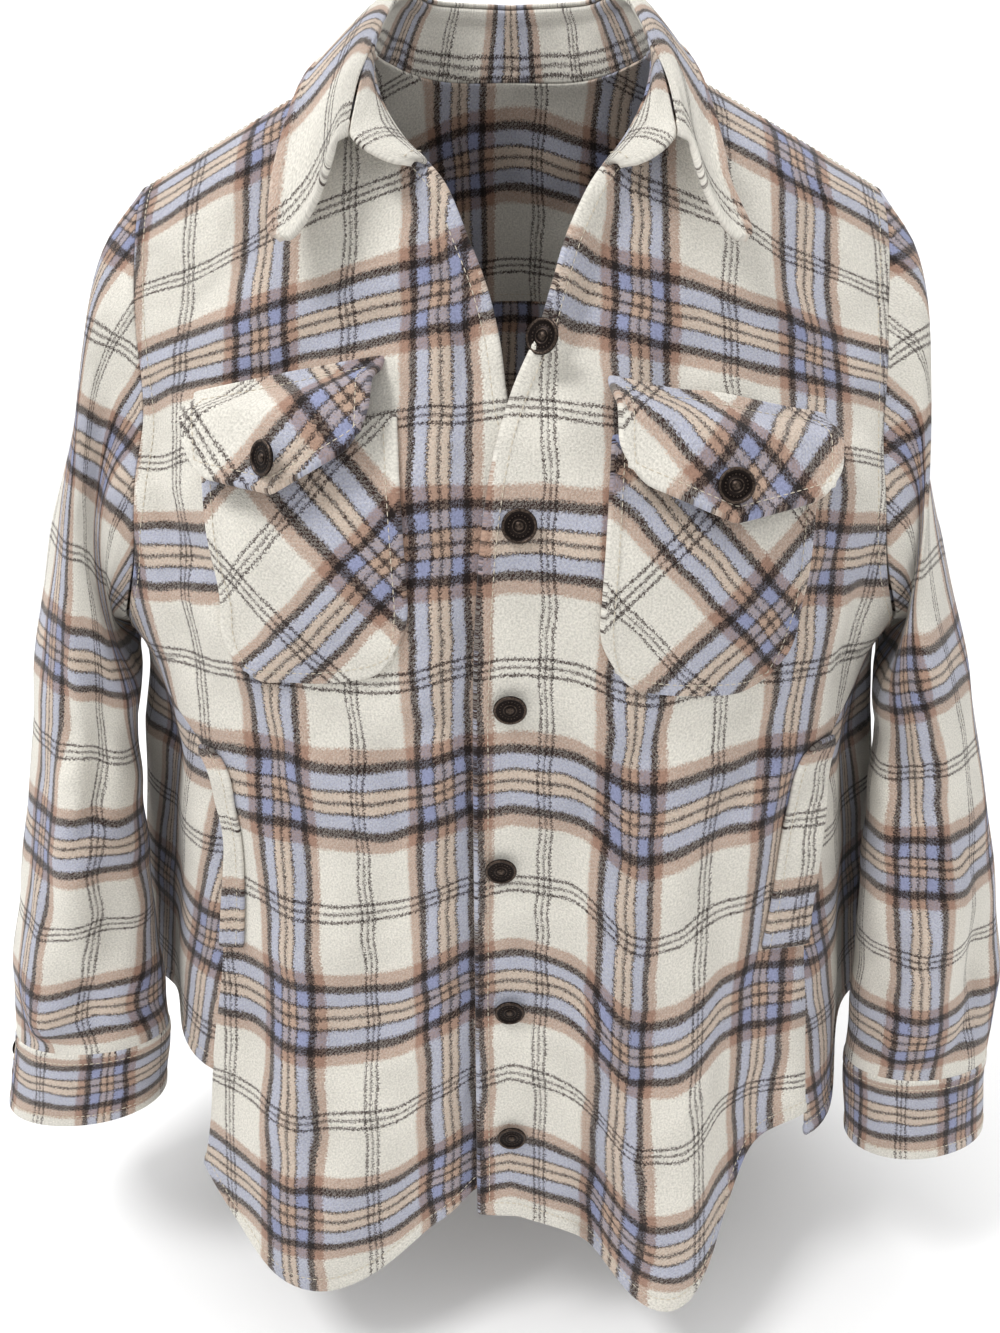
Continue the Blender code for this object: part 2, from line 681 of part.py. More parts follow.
def leaf_surface(u, v):
    way = mix(-NOTCH, NOTCH, u)
    row = row_at(COLLAR, abs(way))
    top = fold_line(way)
    pull = COLLAR_LEFT_PULL * ease(0.2, 0.5, way) * (1 - ease(0.8, NOTCH, way))
    edge = Vector((math.copysign(row.edge_x, way) - pull, row.edge_y, row.edge_z + pull * 0.45))
    rise = (top - stand_base(way)).normalized()
    start = top + rise * 0.0030
    out = Vector((edge.x - top.x, edge.y - top.y, 0)).normalized()
    end = ease(0.66, NOTCH, abs(way))
    fuller = Vector((math.copysign(-0.014, way), -0.004, -0.012)) * end
    first = start + rise * mix(0.006, 0.003, end) + out * 0.007
    second = mix(edge, start, 0.45) + Vector((0, 0, 0.004)) + fuller
    t = v**1.5
    return (
        start * (1 - t) ** 3
        + first * (3 * t * (1 - t) ** 2)
        + second * (3 * t * t * (1 - t))
        + edge * t**3
    )


# Pieces that lie on the fronts


def on_front(side, x, height, lift):
    """A point over a front, by its place in the front view and its height off the cloth."""
    down = down_at(x, height)
    return torso_point(side * turn_at(x, down), down, lift)


def patch_place(corners, u, v):
    """(x, height) inside four corners: top inner, top outer, bottom outer and bottom inner."""
    top = [mix(corners[0][k], corners[1][k], u) for k in (0, 1)]
    bottom = [mix(corners[3][k], corners[2][k], u) for k in (0, 1)]
    return mix(top[0], bottom[0], v), mix(top[1], bottom[1], v)


def pocket_surface(side):
    corners = CHEST_POCKETS[side]

    def point(u, v):
        across = 1 - u if side == RightSide else u
        x, height = patch_place(corners, across, v)
        cut = POCKET_CORNER_CUT * ease(0.72, 1.0, v) * (2 * across - 1)
        x -= cut * abs(2 * across - 1) ** 2 * (corners[1].x - corners[0].x) * 0.5
        height -= 0.004 * v * math.sin(math.pi * across)
        pouch = POCKET_POUCH * math.sin(math.pi * across) * math.sin(math.pi * (1 - v) * 0.5 + 0.3) ** 2
        return on_front(side, x, height, WALL + 3 * SEAM_GAP + max(pouch, 0.0) * (1 - v * v))

    return point


def flap_lift(side, across, v):
    over_pocket = 2 * WALL + 2 * SEAM_GAP + POCKET_POUCH
    free = FLAP_STAND_OFF * (1.0 if side == LeftSide else 1.2)
    return mix(WALL + SEAM_GAP, over_pocket + free, ease(0.0, 0.45, v)) + 0.002 * math.sin(math.pi * across)


def flap_surface(side):
    corners = POCKET_FLAPS[side]

    def point(u, v):
        across = 1 - u if side == RightSide else u
        x, height = patch_place(corners, across, v)
        height -= FLAP_POINT_DROP * v * (1 - abs(2 * across - 1)) ** 0.9
        return on_front(side, x, height, flap_lift(side, across, v))

    return point


def welt_surface(side):
    def point(u, v):
        across = 1 - u if side == RightSide else u
        down = mix(WELT_TOP_DOWN, WELT_BOTTOM_DOWN, v)
        degrees = math.degrees(WELT_WIDTHS[side] / 0.19)
        turn = seam_turn(side, down) - 3 * SIDE_SEAM_DEGREES - degrees * (1 - across)
        return torso_point(side * turn, down, WALL + 2 * SEAM_GAP + 0.002 * across)

    return point


# Buttons


def button_mesh():
    """A turned button: a rim round a dished face, with a shank behind, its axis along +Z."""
    radius = BUTTON_DIAMETER / 2
    rings = (
        (0.0, 0.0034), (radius * 0.55, 0.0030), (radius * 0.72, 0.0026), (radius * 0.86, 0.0036),
        (radius, 0.0030), (radius * 0.97, 0.0018), (radius * 0.35, 0.0014), (radius * 0.30, 0.0),
        (0.0, 0.0),
    )
    mesh = bpy.data.meshes.new("button")
    mesh.from_pydata([(r, 0, z) for r, z in rings], [(i, i + 1) for i in range(len(rings) - 1)], [])
    return mesh


def add_button(name, mesh, place, facing, material, collection):
    obj = make_object(name, mesh.copy(), material, collection)
    obj.matrix_world = Matrix.Translation(place) @ facing.to_track_quat("Z", "Y").to_matrix().to_4x4()
    turned = obj.modifiers.new("Turned", "SCREW")
    turned.axis = "Z"
    turned.steps = 14
    turned.render_steps = 14
    turned.use_merge_vertices = True
    turned.merge_threshold = 0.00001
    turned.use_normal_calculate = True
    return obj


def front_button_place(row):
    down = down_at(row.x, row.z)
    turn = turn_at(row.x, down)
    edge = row_at(FRONT_EDGES, down).left
    lift = WALL / 2 + 2 * SEAM_GAP + 0.91 * edge_roll(LeftSide, row.x - edge, down)
    return torso_point(turn, down, lift), torso_normal(turn, down)


def droop(facing):
    tilt = math.radians(BUTTON_DROOP_DEGREES)
    return (facing + Vector((0, 0, -math.tan(tilt)))).normalized()


def flap_button_place(side):
    row = FLAP_BUTTONS[side]
    down = down_at(row.x, row.z)
    turn = side * turn_at(row.x, down)
    lift = flap_lift(side, 0.5, 0.8) + WALL / 2 + SEAM_GAP + 0.0004
    return torso_point(turn, down, lift), torso_normal(turn, down)


def cuff_button_place(side):
    turn = (CUFF_LAP_STARTS[side] + CUFF_LAP_COLUMNS / 2) * SLEEVE_COLUMN_DEGREES % 360
    along = (SLEEVE_END + CUFF_END) / 2 + 0.004
    base = sleeve_point(side, along, turn, 0.0032 + WALL / 2 + 2 * SEAM_GAP)
    row = row_at(SLEEVE, along)
    middle = Vector((side * (row.outer_x + row.inner_x) / 2, row.y, base.z))
    return base, (base - middle).normalized()


def build():
    for obj in list(bpy.data.objects):
        bpy.data.objects.remove(obj)
    collection = bpy.data.collections.new("shacket")
    bpy.context.scene.collection.children.link(collection)
    ivory = make_material("brushed cotton, main cloth", CLOTH_IVORY, 0.92)
    tan = make_material("brushed cotton, pocket cloth", CLOTH_TAN, 0.92)
    blue = make_material("brushed cotton, trim cloth", CLOTH_BLUE, 0.92)
    bronze = make_material("dark bronze button", BUTTON_BRONZE, 0.38, 0.85)

    cloth_piece("yoke", yoke_point, YOKE_CELLS, blue, collection)
    cloth_piece("back", back_point, BACK_CELLS, ivory, collection)
    cloth_piece("collar_stand", stand_surface, STAND_CELLS, tan, collection)
    cloth_piece("collar_leaf", leaf_surface, LEAF_CELLS, ivory, collection)
    for side, name in ((LeftSide, "left"), (RightSide, "right")):
        cloth_piece(f"front_{name}", front_point(side), FRONT_CELLS, ivory, collection)
        cloth_piece(f"sleeve_{name}", sleeve_surface(side), SLEEVE_CELLS, ivory, collection, True)
        cloth_piece(f"cuff_{name}", cuff_surface(side), CUFF_CELLS, tan, collection)
        cloth_piece(f"chest_pocket_{name}", pocket_surface(side), POCKET_CELLS, tan, collection)
        cloth_piece(f"pocket_flap_{name}", flap_surface(side), FLAP_CELLS, blue, collection)
        cloth_piece(f"side_welt_{name}", welt_surface(side), WELT_CELLS, blue, collection)
    button = button_mesh()
    for number, row in enumerate(FRONT_BUTTONS, 1):
        place, facing = front_button_place(row)
        add_button(f"front_button_{number}", button, place, droop(facing), bronze, collection)
    for side, name in ((LeftSide, "left"), (RightSide, "right")):
        place, facing = flap_button_place(side)
        add_button(f"flap_button_{name}", button, place, droop(facing), bronze, collection)
        place, facing = cuff_button_place(side)
        add_button(f"cuff_button_{name}", button, place, facing, bronze, collection)


build()
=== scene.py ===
"""The look of a plaid overshirt, a shacket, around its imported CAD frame.

Each piece of cloth is made again as a thin shell with a fine grid, on the same torso, sleeve and
collar forms as its solid, with its own creases, turned edges, stitching and a woven plaid in real
sizes. Metres, +Z up. The wearer faces -Y, so the wearer's left is +X.
"""

from __future__ import annotations

import logging
import math
from collections.abc import Callable, Sequence
from dataclasses import dataclass, field
from enum import Enum
from functools import partial
from typing import Any

import bpy
import numpy as np
from mathutils import Matrix, Vector


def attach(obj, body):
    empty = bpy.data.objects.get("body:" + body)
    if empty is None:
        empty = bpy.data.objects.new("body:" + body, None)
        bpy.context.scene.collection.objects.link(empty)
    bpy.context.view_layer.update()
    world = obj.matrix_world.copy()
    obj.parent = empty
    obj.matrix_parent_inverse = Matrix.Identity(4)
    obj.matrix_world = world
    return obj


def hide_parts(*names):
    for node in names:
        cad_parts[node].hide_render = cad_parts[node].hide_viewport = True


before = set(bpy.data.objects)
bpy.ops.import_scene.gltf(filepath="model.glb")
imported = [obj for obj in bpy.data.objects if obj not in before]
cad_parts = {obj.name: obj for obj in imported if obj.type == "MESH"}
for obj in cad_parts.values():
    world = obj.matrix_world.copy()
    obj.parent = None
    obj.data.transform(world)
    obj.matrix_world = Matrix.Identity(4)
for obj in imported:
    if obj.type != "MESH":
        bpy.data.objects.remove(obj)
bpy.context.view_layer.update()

Array = np.ndarray
Rows = tuple[tuple[float, ...], ...]
Surface = Callable[[Array, Array], tuple[Array, Array]]
Span = tuple[float, float]
Place = tuple[float, float, float]
Material = bpy.types.Material
Tree = bpy.types.NodeTree
Socket = bpy.types.NodeSocket
Value = Socket | float | tuple[float, ...]
Inputs = dict[str | int, object]
BODY = "root"
MM = 0.001
LOG = logging.getLogger("shacket")


class Side(Enum):
    """Which side of the wearer a piece is on."""

    LEFT = 1
    RIGHT = -1

    @property
    def word(self) -> str:
        """The side's word in the names of nodes and pieces."""
        return self.name.lower()

    def pick(self, pair: Sequence[Any]) -> Any:
        """The first of a pair for the left side, and the second for the right one."""
        return pair[0 if self is Side.LEFT else 1]


class Border(Enum):
    """A border of a grid of cloth: its first or last row or column."""

    TOP = "first row"
    BOTTOM = "last row"
    FIRST = "first column"
    LAST = "last column"


class Slot(Enum):
    """The record's slots for finishes."""

    MAIN = "main_cloth"
    POCKET = "pocket_cloth"
    TRIM = "trim_cloth"
    BUTTON = "button"


# A row of stitches: its border, its distance in, and what to leave off its two ends
Seams = Sequence[tuple[Border, float, Span]]


# Shared mathematics


def mix(first: Array, last: Array, share: Array) -> Array:
    """A value part of the way from first to last."""
    return first + (last - first) * share


def ease(low: float, high: float, value: Array) -> Array:
    """0 at low and 1 at high, with a smooth rise between them."""
    t = np.clip((np.asarray(value, float) - low) / (high - low), 0.0, 1.0)
    return t * t * (3 - 2 * t)


def bell(away: Array, width: Array | float) -> Array:
    """1 in the middle of a fold or groove, and falling softly to its sides."""
    return np.exp(-((away / width) ** 2))


def unit(vectors: Array) -> Array:
    """The vectors of the last axis, each of length 1."""
    return vectors / np.maximum(np.linalg.norm(vectors, axis=-1, keepdims=True), 1e-12)


def smooth_rows(rows: Rows, key: Array) -> list[Array]:
    """Read a table at values of its first column, on a smooth curve through its rows.

    Args:
        rows: The table, sorted by its first column.
        key: Where to read it.

    Returns:
        One array for each column after the first.
    """
    table = np.asarray(rows, float)
    keys = table[:, 0]
    key = np.clip(np.asarray(key, float), keys[0], keys[-1])
    low = np.clip(np.searchsorted(keys, key, side="right") - 1, 0, len(keys) - 2)
    before, after = np.maximum(low - 1, 0), np.minimum(low + 2, len(keys) - 1)
    span = keys[low + 1] - keys[low]
    t = ((key - keys[low]) / span)[..., None]
    first, last = table[low], table[low + 1]
    first_slope = (last - table[before]) * (span / (keys[low + 1] - keys[before]))[..., None]
    last_slope = (table[after] - first) * (span / (keys[after] - keys[low]))[..., None]
    values = (
        (2 * t**3 - 3 * t**2 + 1) * first
        + (t**3 - 2 * t**2 + t) * first_slope
        + (3 * t**2 - 2 * t**3) * last
        + (t**3 - t**2) * last_slope
    )
    return [values[..., column] for column in range(1, table.shape[1])]


def falling_root(function: Callable[[Array], Array], target: Array, low: float, high: float) -> Array:
    """Find where a falling function meets its target.

    Args:
        function: The falling function, of an array.
        target: The value to meet, for each entry.
        low: The lower end of the search.
        high: The upper end of the search.

    Returns:
        The function's argument at the target, for each entry.
    """
    lows, highs = np.full_like(target, low), np.full_like(target, high)
    for _ in range(26):
        middles = (lows + highs) / 2
        above = function(middles) > target
        lows, highs = np.where(above, middles, lows), np.where(above, highs, middles)
    return (lows + highs) / 2


def lengths(points: Array, axis: int) -> Array:
    """The distances between neighbouring points along an axis of their grid."""
    return np.linalg.norm(np.diff(points, axis=axis), axis=-1)


def vector(x: Array, y: Array, z: Array) -> Array:
    """Three arrays as one array of points."""
    return np.stack(np.broadcast_arrays(x, y, z), axis=-1)


def linear(code: str) -> tuple[float, float, float, float]:
    """Turn an sRGB hex colour into linear values.

    Args:
        code: Six hex digits, without a hash.

    Returns:
        Red, green, blue and an alpha of 1.
    """
    shares = [int(code[n : n + 2], 16) / 255 for n in (0, 2, 4)]
    red, green, blue = (s / 12.92 if s <= 0.04045 else ((s + 0.055) / 1.055) ** 2.4 for s in shares)
    return red, green, blue, 1.0


def new_object(name: str, data: bpy.types.ID) -> bpy.types.Object:
    """Put new data into the scene.

    Args:
        name: The object's name.
        data: Its mesh, curve, light or camera.

    Returns:
        The new object.
    """
    made = bpy.data.objects.new(name, data)
    bpy.context.scene.collection.objects.link(made)
    return made


# Forms


@dataclass(frozen=True)
class Crease:
    """A soft trough or ridge, along a bowed line in the front or back view."""

    start_x: float
    start_z: float
    end_x: float
    end_z: float
    half_width: float
    depth: float
    bow: float

    def height(self, x: Array, z: Array) -> Array:
        """How far the crease moves the cloth out, at places in the view.

        Args:
            x: Places across.
            z: Their heights.

        Returns:
            Metres, minus in a trough.
        """
        run_x, run_z = self.end_x - self.start_x, self.end_z - self.start_z
        length = math.hypot(run_x, run_z)
        t = ((x - self.start_x) * run_x + (z - self.start_z) * run_z) / length**2
        across = ((x - self.start_x) * run_z - (z - self.start_z) * run_x) / length
        across = across - self.bow * 4 * t * (1 - t)
        width = self.half_width * np.where(across > 0, 1.0, 1.6)
        fade = ease(-0.15, 0.25, t) * (1 - ease(0.75, 1.15, t))
        uneven = 0.85 + 0.15 * np.sin(9 * t + 40 * self.start_x)
        return self.depth * fade * uneven * bell(across, width)


@dataclass
class TorsoForm:
    """The worn body of the garment, as rings from the shoulder ridge down to the hem."""

    ring_power: float = 2.3
    shoulder_blend: float = 0.030
    crease_strength: float = 1.75
    # down, height, slope, half width, side y, front y, back y
    sections: Rows = (
        (0.000, 0.040, 0.51, 0.2620, 0.000, 0.000, 0.000),
        (0.020, 0.037, 0.51, 0.2620, 0.000, -0.020, 0.020),
        (0.041, 0.027, 0.50, 0.2620, 0.000, -0.038, 0.038),
        (0.068, 0.006, 0.47, 0.2620, 0.000, -0.054, 0.056),
        (0.107, -0.030, 0.40, 0.2620, 0.000, -0.067, 0.074),
        (0.154, -0.074, 0.31, 0.2620, 0.000, -0.080, 0.092),
        (0.206, -0.122, 0.22, 0.2620, 0.000, -0.095, 0.108),
        (0.256, -0.166, 0.15, 0.2580, 0.000, -0.117, 0.118),
        (0.298, -0.206, 0.10, 0.2480, 0.000, -0.130, 0.124),
        (0.343, -0.250, 0.05, 0.2370, 0.000, -0.134, 0.127),
        (0.376, -0.283, 0.02, 0.2260, 0.000, -0.133, 0.128),
        (0.400, -0.307, 0.00, 0.2290, 0.006, -0.132, 0.128),
        (0.430, -0.337, 0.00, 0.2370, 0.018, -0.132, 0.129),
        (0.463, -0.370, 0.00, 0.2450, 0.028, -0.131, 0.130),
        (0.513, -0.420, 0.00, 0.2530, 0.036, -0.130, 0.132),
        (0.563, -0.470, 0.00, 0.2590, 0.042, -0.131, 0.136),
        (0.613, -0.520, 0.00, 0.2630, 0.046, -0.133, 0.141),
        (0.663, -0.570, 0.00, 0.2650, 0.048, -0.137, 0.146),
        (0.709, -0.615, 0.00, 0.2670, 0.050, -0.141, 0.150),
        (0.795, -0.700, 0.00, 0.2710, 0.050, -0.148, 0.156),
    )
    # turn at the top and bottom, start, full and end down, half width in degrees, depth
    folds: Rows = (
        (15, 18, 0.560, 0.740, 1.400, 7.0, 0.026),
        (11, 9.5, 0.540, 0.700, 1.400, 3.0, -0.011),
        (31, 33, 0.560, 0.700, 1.400, 5.0, -0.010),
        (-20, -23, 0.560, 0.740, 1.400, 10.0, 0.024),
        (-9, -8, 0.600, 0.720, 1.400, 4.0, -0.006),
        (43, 43, 0.500, 0.740, 1.400, 17.0, 0.010),
        (-43, -43, 0.500, 0.720, 1.400, 17.0, 0.012),
        (74, 64, 0.350, 0.450, 1.400, 15.0, -0.021),
        (-74, -64, 0.350, 0.450, 1.400, 15.0, -0.021),
        (-51, -52, 0.140, 0.240, 0.360, 4.5, -0.006),
        (118, 122, 0.450, 0.650, 1.400, 7.0, -0.010),
        (138, 142, 0.330, 0.600, 1.400, 8.0, 0.011),
        (160, 158, 0.400, 0.640, 1.400, 7.0, -0.009),
        (178, 176, 0.300, 0.560, 1.400, 8.0, 0.010),
        (-162, -164, 0.380, 0.620, 1.400, 7.0, -0.010),
        (-141, -145, 0.350, 0.600, 1.400, 8.0, 0.012),
        (-119, -121, 0.450, 0.640, 1.400, 7.0, -0.009),
        (88, 92, 0.520, 0.660, 1.400, 8.0, 0.006),
        (-90, -93, 0.520, 0.660, 1.400, 8.0, 0.006),
    )
    # start x and z, end x and z, half width, depth, bow
    front_creases: Rows = (
        (0.200, -0.150, 0.185, -0.330, 0.010, -0.0040, 0.006),
        (-0.195, -0.120, -0.172, -0.300, 0.009, -0.0040, -0.004),
        (0.150, -0.300, 0.105, -0.440, 0.011, -0.0030, 0.008),
        (-0.150, -0.290, -0.110, -0.430, 0.011, -0.0030, -0.008),
        (0.070, -0.400, 0.052, -0.580, 0.012, 0.0035, 0.005),
        (0.120, -0.420, 0.128, -0.600, 0.012, -0.0035, -0.005),
        (-0.060, -0.380, -0.080, -0.560, 0.013, -0.0032, 0.006),
        (-0.120, -0.400, -0.140, -0.590, 0.013, 0.0032, -0.004),
        (0.030, -0.120, 0.095, -0.145, 0.009, -0.0022, 0.004),
        (-0.035, -0.110, -0.100, -0.125, 0.009, -0.0022, 0.004),
        (0.004, -0.240, 0.060, -0.300, 0.010, -0.0020, 0.005),
        (-0.018, -0.300, -0.070, -0.330, 0.010, -0.0020, 0.005),
        (0.002, -0.430, 0.055, -0.480, 0.010, -0.0022, 0.005),
        (-0.020, -0.470, -0.075, -0.500, 0.010, -0.0020, 0.005),
        (0.030, -0.300, 0.040, -0.430, 0.010, -0.0026, 0.004),
        (-0.040, -0.270, -0.050, -0.400, 0.011, 0.0026, -0.004),
        (0.165, -0.330, 0.150, -0.520, 0.011, -0.0036, 0.006),
        (-0.170, -0.350, -0.160, -0.540, 0.011, -0.0036, -0.006),
        (0.125, -0.075, 0.185, -0.120, 0.011, -0.0026, 0.005),
        (-0.120, -0.070, -0.180, -0.110, 0.011, -0.0026, 0.005),
        (0.180, -0.210, 0.110, -0.330, 0.009, -0.0030, 0.008),
        (-0.185, -0.200, -0.100, -0.320, 0.009, -0.0030, -0.008),
        (0.100, -0.300, 0.040, -0.360, 0.009, -0.0022, 0.006),
        (-0.100, -0.300, -0.050, -0.370, 0.009, -0.0022, -0.006),
        (0.080, -0.500, 0.095, -0.640, 0.009, -0.0034, 0.004),
        (-0.100, -0.480, -0.120, -0.640, 0.009, -0.0034, -0.004),
    )
    back_creases: Rows = (
        (0.170, -0.140, 0.110, -0.300, 0.012, -0.0040, 0.010),
        (-0.170, -0.150, -0.115, -0.310, 0.012, -0.0040, -0.010),
        (0.080, -0.200, 0.060, -0.420, 0.014, 0.0035, 0.008),
        (-0.060, -0.220, -0.085, -0.430, 0.014, -0.0035, 0.006),
        (0.020, -0.320, 0.010, -0.560, 0.014, -0.0035, -0.006),
        (0.130, -0.380, 0.150, -0.600, 0.014, -0.0035, -0.006),
        (-0.140, -0.360, -0.155, -0.610, 0.014, 0.0035, 0.006),
        (0.040, -0.150, 0.100, -0.230, 0.011, -0.0026, 0.006),
        (-0.040, -0.140, -0.110, -0.220, 0.011, -0.0026, -0.006),
        (0.090, -0.420, 0.070, -0.620, 0.010, -0.0032, 0.005),
        (-0.040, -0.400, -0.030, -0.600, 0.010, 0.0032, -0.005),
        (0.180, -0.250, 0.130, -0.360, 0.010, -0.0030, 0.008),
        (-0.180, -0.260, -0.120, -0.370, 0.010, -0.0030, -0.008),
    )

    def section(self, down: Array) -> list[Array]:
        """The ring's height, slope, half width, side y, front y and back y."""
        return smooth_rows(self.sections, down)

    def reach(self, x: Array) -> Array:
        """The distance from the centre line that the shoulder's slope acts on."""
        return np.sqrt(x * x + self.shoulder_blend**2) - self.shoulder_blend

    def height_at(self, x: Array, down: Array) -> Array:
        """The height of the form at x, this far down from the shoulder ridge."""
        height, slope = self.section(down)[:2]
        return height - slope * self.reach(x)

    def down_at(self, x: Array, height: Array) -> Array:
        """How far down the form has this height at x."""
        return falling_root(lambda down: self.height_at(x, down), height, 0.0, self.sections[-1][0])

    def turn_at(self, x: Array, down: Array) -> Array:
        """Degrees round from the centre front of the point with this x, on the front side."""
        across = np.minimum(np.abs(x) / self.section(down)[2], 1.0) ** (self.ring_power / 2)
        return np.copysign(np.degrees(np.arcsin(across)), x)

    def bare(self, turn: Array, down: Array) -> Array:
        """Points of the form without its folds.

        Args:
            turn: Degrees round from the centre front, + to the wearer's left.
            down: Metres down from the shoulder ridge.

        Returns:
            The points.
        """
        height, slope, half_width, side_y, front_y, back_y = self.section(down)
        angle = np.radians(turn)
        sine, cosine = np.sin(angle), np.cos(angle)
        x = half_width * np.copysign(np.abs(sine) ** (2 / self.ring_power), sine)
        deep = np.abs(cosine) ** (2 / self.ring_power)
        y = mix(side_y, np.where(cosine > 0, front_y, back_y), deep)
        return vector(x, y, height - slope * self.reach(x))

    def normal(self, turn: Array, down: Array) -> Array:
        """The direction straight out of the bare form.

        Args:
            turn: Degrees round from the centre front.
            down: Metres down from the shoulder ridge.

        Returns:
            Directions of length 1.
        """
        low, high = np.maximum(down - 0.002, 0.0005), down + 0.002
        round_it = self.bare(turn + 0.5, down) - self.bare(turn - 0.5, down)
        return unit(np.cross(self.bare(turn, high) - self.bare(turn, low), round_it))

    def relief(self, turn: Array, down: Array, places: Array) -> Array:
        """How far folds and creases move the cloth out.

        Args:
            turn: Degrees round from the centre front.
            down: Metres down from the shoulder ridge.
            places: The bare points.

        Returns:
            Metres, for each point.
        """
        total = np.zeros(np.shape(places)[:-1])
        for top, bottom, start, full, end, half_width, depth in self.folds:
            share = np.clip((down - start) / (full - start), 0.0, 1.0)
            away = (turn - mix(top, bottom, share) + 180) % 360 - 180
            grown = ease(start, full, down) * (1 - ease(full, end, down))
            total = total + depth * grown * bell(away, half_width)
        x, y, z = places[..., 0], places[..., 1], places[..., 2]
        front = np.cos(np.radians(turn)) > 0
        for creases, here in ((self.front_creases, front), (self.back_creases, ~front)):
            for crease in creases:
                total = total + np.where(here, self.crease_strength * Crease(*crease).height(x, z), 0.0)
        wave = np.sin(61 * x + 23 * z + 1.1) * np.sin(37 * z - 19 * y) + 0.6 * np.sin(97 * x - 71 * z)
        return total + 0.0006 * wave * ease(0.02, 0.10, down)

    def point(self, turn: Array, down: Array, lift: Array | float = 0.0) -> Array:
        """Points of the form, moved out by its folds and by lift.

        Args:
            turn: Degrees round from the centre front, + to the wearer's left.
            down: Metres down from the shoulder ridge.
            lift: Metres further out.

        Returns:
            The points.
        """
        turn, down = np.broadcast_arrays(np.asarray(turn, float), np.asarray(down, float))
        bare = self.bare(turn, down)
        out = self.relief(turn, down, bare) + lift
        return bare + self.normal(turn, down) * out[..., None]

    def arc(self, turn: Array, down: Array, start: float) -> Array:
        """The distance along the cloth round a ring.

        Args:
            turn: Degrees round from the centre front.
            down: Metres down from the shoulder ridge.
            start: The turn, in degrees, that it is measured from.

        Returns:
            Metres, minus on the side of the lower turns.
        """
        steps = 24
        ring = [self.bare(mix(start, turn, n / steps), down) for n in range(steps + 1)]
        return np.copysign(lengths(np.array(ring), 0).sum(axis=0), turn - start)


